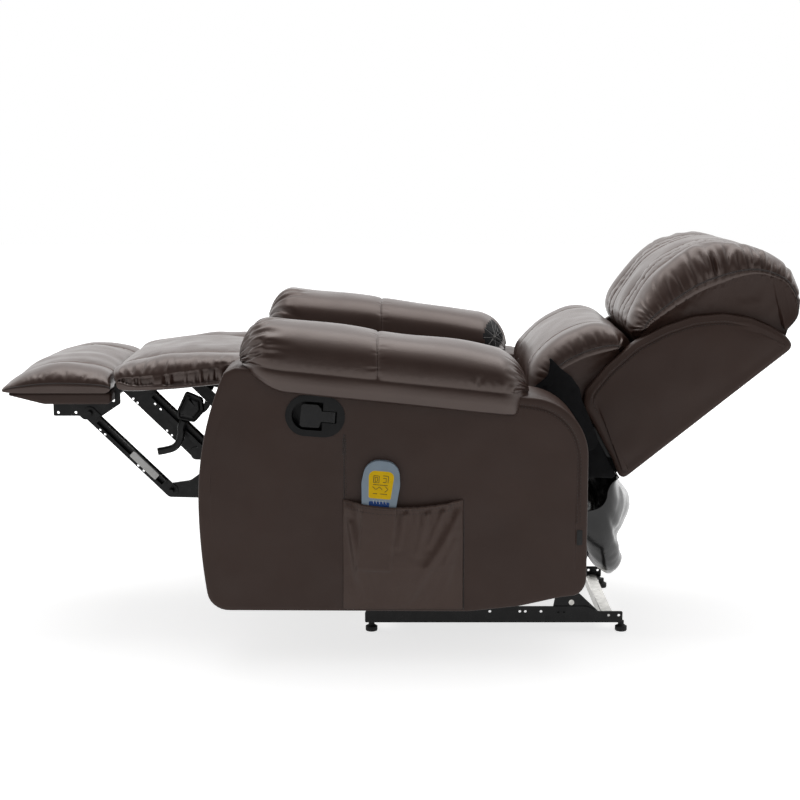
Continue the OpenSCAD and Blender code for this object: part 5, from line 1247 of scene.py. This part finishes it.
for s, side_name in SIDES:
    plate("frame_cloth_" + side_name, rounded([[-5, 9, 2], [120, 9, 4], [120, 124, 4], [-5, 124, 4]]), 222.1, 224.0,
          "back", lining, step=6.0, edge=(0.4, 0.8), rows=8, place=on_back, side=s, seed=97 + s, wave=0.3)
    plate("head_gusset_" + side_name, rounded(GUSSET), 222.15, 223.9, "back", leather_flat, step=6.0,
          edge=(0.4, 0.8), rows=10, place=on_back, side=s, seed=99 + s, wave=0.3)
    # a black fin of lining cloth, which also stands in as painted shade for the hollow at the pillow's end
    plate("fin_and_painted_shade_" + side_name, rounded(FIN, 5), 246.4, 248.8, "back", lining, step=4.0, edge=(0.8, 1.0), rows=8,
          place=on_back, side=s, seed=103 + s, wave=1.6)
    plate("wing_" + side_name, WING, 224.2, 250, "back", leather_flat, [side_name + "_wing"], step=5.0,
          edge=(3.0, 8.0), band=17.0, dome=(0.0, 2.5), place=on_back, side=s, seed=91 + s, wave=1.2, mask=wing_mask)
    plate("lining_" + side_name, even(rounded(SIDE_LINING), 5.0, True), 227.3, 235.5, "back", lining,
          ["back_lining"], step=5.0, edge=(2.0, 2.5), rows=8, place=on_back, side=s, seed=95 + s, wave=1.2)
plate("back_panel", rounded([[0, 0, 2], [BACK_LEN, 0, 2], [BACK_LEN, 8, 3], [0, 8, 3]], 3), -BACK_FRAME_Y,
      BACK_FRAME_Y, "back", leather_flat, ["back_panel"], step=8.0, edge=(1.0, 1.0), rows=2, place=on_back)
plate("back_top", rectangle(425.3, 427.6, 1, 124, 0.8), -BACK_FRAME_Y, BACK_FRAME_Y, "back", leather_flat, step=6.0,
      edge=(0.8, 0.8), rows=2, place=on_back)
for end, strip in (("front", (-2.4, -0.6, -58, 4, 0.6)), ("rear", (468, 563, 8.5, 10.3, 0.6))):
    plate("seat_%s_cloth" % end, rectangle(*strip), -234, 234, "chassis", lining, step=6.0, edge=(0.6, 0.6), rows=2,
          place=on_seat)
plate("lining_front", rectangle(-6, 0, 8, 120, 2), -222, 222, "back", lining, ["back_lining"], step=5.0,
      edge=(1.0, 1.0), rows=2, place=on_back)


# ---------------------------------------------------------------- seams, stitching and small fittings
def ring_part(g, ys, y, s0, s1):
    """Ring indices whose place along the middle ring lies between s0 and s1."""
    s = run_length(g[len(ys) // 2])
    return int(np.argmin(np.abs(s - s0))), int(np.argmin(np.abs(s - s1)))


def seam_cord(name, g, ys, y, s0, s1, place, body, r, off):
    i0, i1 = ring_part(g, ys, y, s0, s1)
    return tube(name, place(line_on(g, ys, y, i0, i1, off)), r, thread, body)


def side_gusset(name, g, ys, s, s0, s1, low, y_out, y_in):
    """A concave panel from a cushion's side seam down to the line low."""
    i0, i1 = ring_part(g, ys, 0, s0, s1)
    up = g[0 if s < 0 else -1][np.arange(i0, i1)]
    low = open_curve(low, 24)
    d = run_length(low)
    t = np.linspace(0, d[-1], len(up))
    lo = np.stack([np.interp(t, d, low[:, 0]), np.interp(t, d, low[:, 1])], 1)
    pleat = 1.8 * np.sin(np.arange(len(up)) * 0.9)
    rows = []
    for v in np.linspace(0, 1, 20):
        x = up[:, 0] * (1 - v) + lo[:, 0] * v
        z = up[:, 2] * (1 - v) + lo[:, 1] * v
        fold = 1.6 * soft_noise(107, x, z, 46.0, 2) * math.sin(math.pi * v) + pleat * max(0.0, 1 - 5 * v)
        rows.append(np.stack([x, s * (y_in + (y_out - y_in) * (1 - v) ** 1.9 + fold), z], 1))
    rows = np.array(rows)
    back = rows - np.array([0.0, s * 1.2, 0.0])
    return sheet_shell(name, on_back(rows), on_back(back), leather_flat, "back")


def upright(x, y, zs):
    """An upright line of points."""
    return np.array([(x, y, z) for z in zs])


HEAD_LOW = [(444, 14), (441, 34), (432, 60), (409, 98), (374, 136), (322, 172), (262, 193), (205, 204)]
LUMBAR_LOW = [(20, 130), (24, 160), (44, 184), (80, 196), (120, 202), (160, 205)]
SEAM_Y = 150
SEWN = ((head_g, head_y, head_s0, head_s1, on_back, "back"), (lum_g, lum_y, lum_s0, lum_s1, on_back, "back"),
        (otto_g, otto_y, ot_s0, ot_s1, as_is, "ottoman"), (calf_g, calf_y, cf_s0, cf_s1, as_is, "calf_rest"))
for s, side_name in SIDES:
    side_gusset("head_side_" + side_name, head_g, head_y, s, head_s0 - 24, head_s1, HEAD_LOW, 245.0, 226.6)
    side_gusset("lumbar_side_" + side_name, lum_g, lum_y, s, lum_s0 + 20, lum_s1, LUMBAR_LOW, 243.6, 226.8)
    seam_cord("head_welt_" + side_name, head_g, head_y, s * 245.2, head_s0 - 60, head_s1, on_back, "back", 1.5, 0.3)
    seam_cord("lumbar_welt_" + side_name, lum_g, lum_y, s * 244.2, lum_s0 - 20, lum_s1 + 20, on_back, "back", 1.3, 0.3)
    seam_cord("ottoman_welt_" + side_name, otto_g, otto_y, s * 249.3, ot_s0, ot_s1, as_is, "ottoman", 1.2, 0.1)
    for k, (g, ys, s0, s1, place, body) in enumerate(SEWN):
        seam = line_on(g, ys, s * SEAM_Y, *ring_part(g, ys, SEAM_Y, s0, s1), 0.3)
        stitches("seam_stitch_%d_%s" % (k, side_name), [place(seam)], body, r=0.5)

for s, side_name in SIDES:
    lines = []
    for deep, y in ((14.0, 250.6), (20.0, 250.8)):
        q = even(inset(even(WING, 5.0, True), deep), 3.0, True)
        keep = wing_mask(q[:, 0], q[:, 1]) > 0.5
        runs = np.split(np.arange(len(keep)), np.where(np.diff(keep.astype(int)) != 0)[0] + 1)
        lines += [on_back(np.stack([q[r, 0], np.full(len(r), s * y), q[r, 1]], 1))
                  for r in runs if keep[r[0]] and len(r) > 6]
    stitches("wing_stitch_" + side_name, lines, "back", r=0.5)
    lines = []
    for deep in (15.0, 21.0):
        q = even(inset(even(arm_outline(0), 9.0, True), deep), 4.0, True)
        q = q[(q[:, 0] > 190) & (q[:, 1] > 300)]
        q = q[np.argsort(np.arctan2(q[:, 1] - 433, q[:, 0] - 255))]
        lines.append(np.stack([q[:, 0], np.full(len(q), s * 432.5), q[:, 1]], 1))
    stitches("arm_stitch_" + side_name, lines, "chassis", r=0.5)

# the side panel's upright seam, and the pocket's sewn sides and hem
tube("panel_seam_left", upright(-111.0, -433.05, np.linspace(480, 119, 90)), 0.9, thread, "chassis")
stitches("panel_stitch_left", [upright(-107.0, -432.7, np.linspace(476, 356, 40))], "chassis", r=0.5)
stitches("panel_tack_left", [upright(x, -432.9, np.linspace(468, 440, 6)) for x in (-113.5, -108.5)], "chassis",
         pitch=5.0, length=4.2, r=0.7)
tube("pocket_seam_rear", upright(128.0, -433.0, np.linspace(346, 121, 60)), 0.9, thread, "chassis")
hem = [pocket_surface(np.linspace(0.02, 0.98, 120), np.full(120, v), True) + np.array([0, -0.3, 0])
       for v in (0.93, 0.97)]
stitches("pocket_stitch", hem, "chassis", r=0.45)
stitches("pocket_side_stitch", [upright(x, -433.4, np.linspace(338, 126, 60)) for x in (-108.0, 121.0)],
         "chassis", r=0.45)
plate("side_tab", rounded([[354, 254, 2], [365, 254, 2], [365, 285, 2], [354, 285, 2]]), 431.8, 433.6, "chassis",
      webbing, step=2.0, edge=(0.3, 0.8), rows=3, side=-1)

# a blank white label on the near long link
LINK_FOOT = np.array([-656.0, 486.0])
link_u = np.array([170.0, -167.0]) / 238.3           # along the link
link_v = np.array([167.0, 170.0]) / 238.3            # across it
LABEL = ((122, -3.4), (196, -3.4), (196, 11.0), (122, 11.0))
label = [list(LINK_FOOT + link_u * a + link_v * b) + [1.5] for a, b in LABEL]
plate("link_label", rounded(label), 232.9, 233.4, "long_link_pair", sticker_white, step=3.0, edge=(0.1, 0.2), rows=4,
      side=-1)

# stop plates with their bent levers, as pressed steel
STOP = rounded([[-466, 498, 6], [-447, 539, 5], [-412, 524, 7], [-409, 496, 8], [-430, 472, 8], [-466, 480, 5]])
lever = open_curve([(-452, 478), (-459, 462), (-459, 447), (-463, 432), (-474, 419), (-492, 413), (-509, 410)], 8)
t = unit(np.gradient(lever, axis=0))
half = np.stack([-t[:, 1], t[:, 0]], 1) * 7.5
LEVER = np.concatenate([lever + half, (lever - half)[::-1]])
for s, side_name in SIDES:
    stop, _ = plate("link_stop_" + side_name, STOP, 241.2, 252.6, "parallel_link_pair", steel_black, step=3.5,
                    edge=(2.0, 4.0), band=7.0, rows=6, side=s)
    plate("link_lever_" + side_name, LEVER, 241.6, 252.0, "parallel_link_pair", steel_black, step=3.5,
          edge=(2.0, 3.0), rows=4, side=s)
    pin = np.array([(-457.6, s * y, 447.1) for y in (216, 224, 236, 243)], float)
    tube("link_stop_pin_" + side_name, pin, 5.0, zinc, "parallel_link_pair", sides=20)
    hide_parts("link_stops")


# icon lines on the remote, and marks on its strip
def at_remote(p):
    """Points in mm on the remote's face, from its middle, turned as the remote leans."""
    c, sn = math.cos(math.radians(5)), math.sin(math.radians(5))
    p = np.asarray(p, float)
    return np.stack([-34 + p[:, 0] * c + p[:, 1] * sn, np.full(len(p), -448.55), 428 + p[:, 1] * c - p[:, 0] * sn], 1)


ICONS = (((-15, -30), (-15, -44), (-4, -44), (-4, -30), (-15, -30)),
         ((-12, -33), (-12, -41), (-7, -41), (-7, -33), (-12, -33)), ((3, -29), (14, -29), (14, -43)),
         ((4, -34), (10, -34), (10, -42), (4, -42)), ((-16, -52), (-9, -58), (-2, -52), (4, -58)),
         ((9, -50), (15, -56), (9, -62)), ((-14, -66), (-6, -66)), ((0, -66), (14, -66)), ((-15, -48), (14, -48)))
for k, line in enumerate(ICONS):
    tube("remote_icon_%d" % k, at_remote(even(line, 2.0)), 0.5, icon_dark, "remote", sides=5)
for k, x in enumerate((-12, -6, 0, 7, 13)):
    tube("remote_mark_%d" % k, at_remote([(x, -79.5), (x, -83.0), (x + 1.2, -86.0)]), 0.6, icon_pale, "remote", sides=5)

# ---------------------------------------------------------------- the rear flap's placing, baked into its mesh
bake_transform(flap)
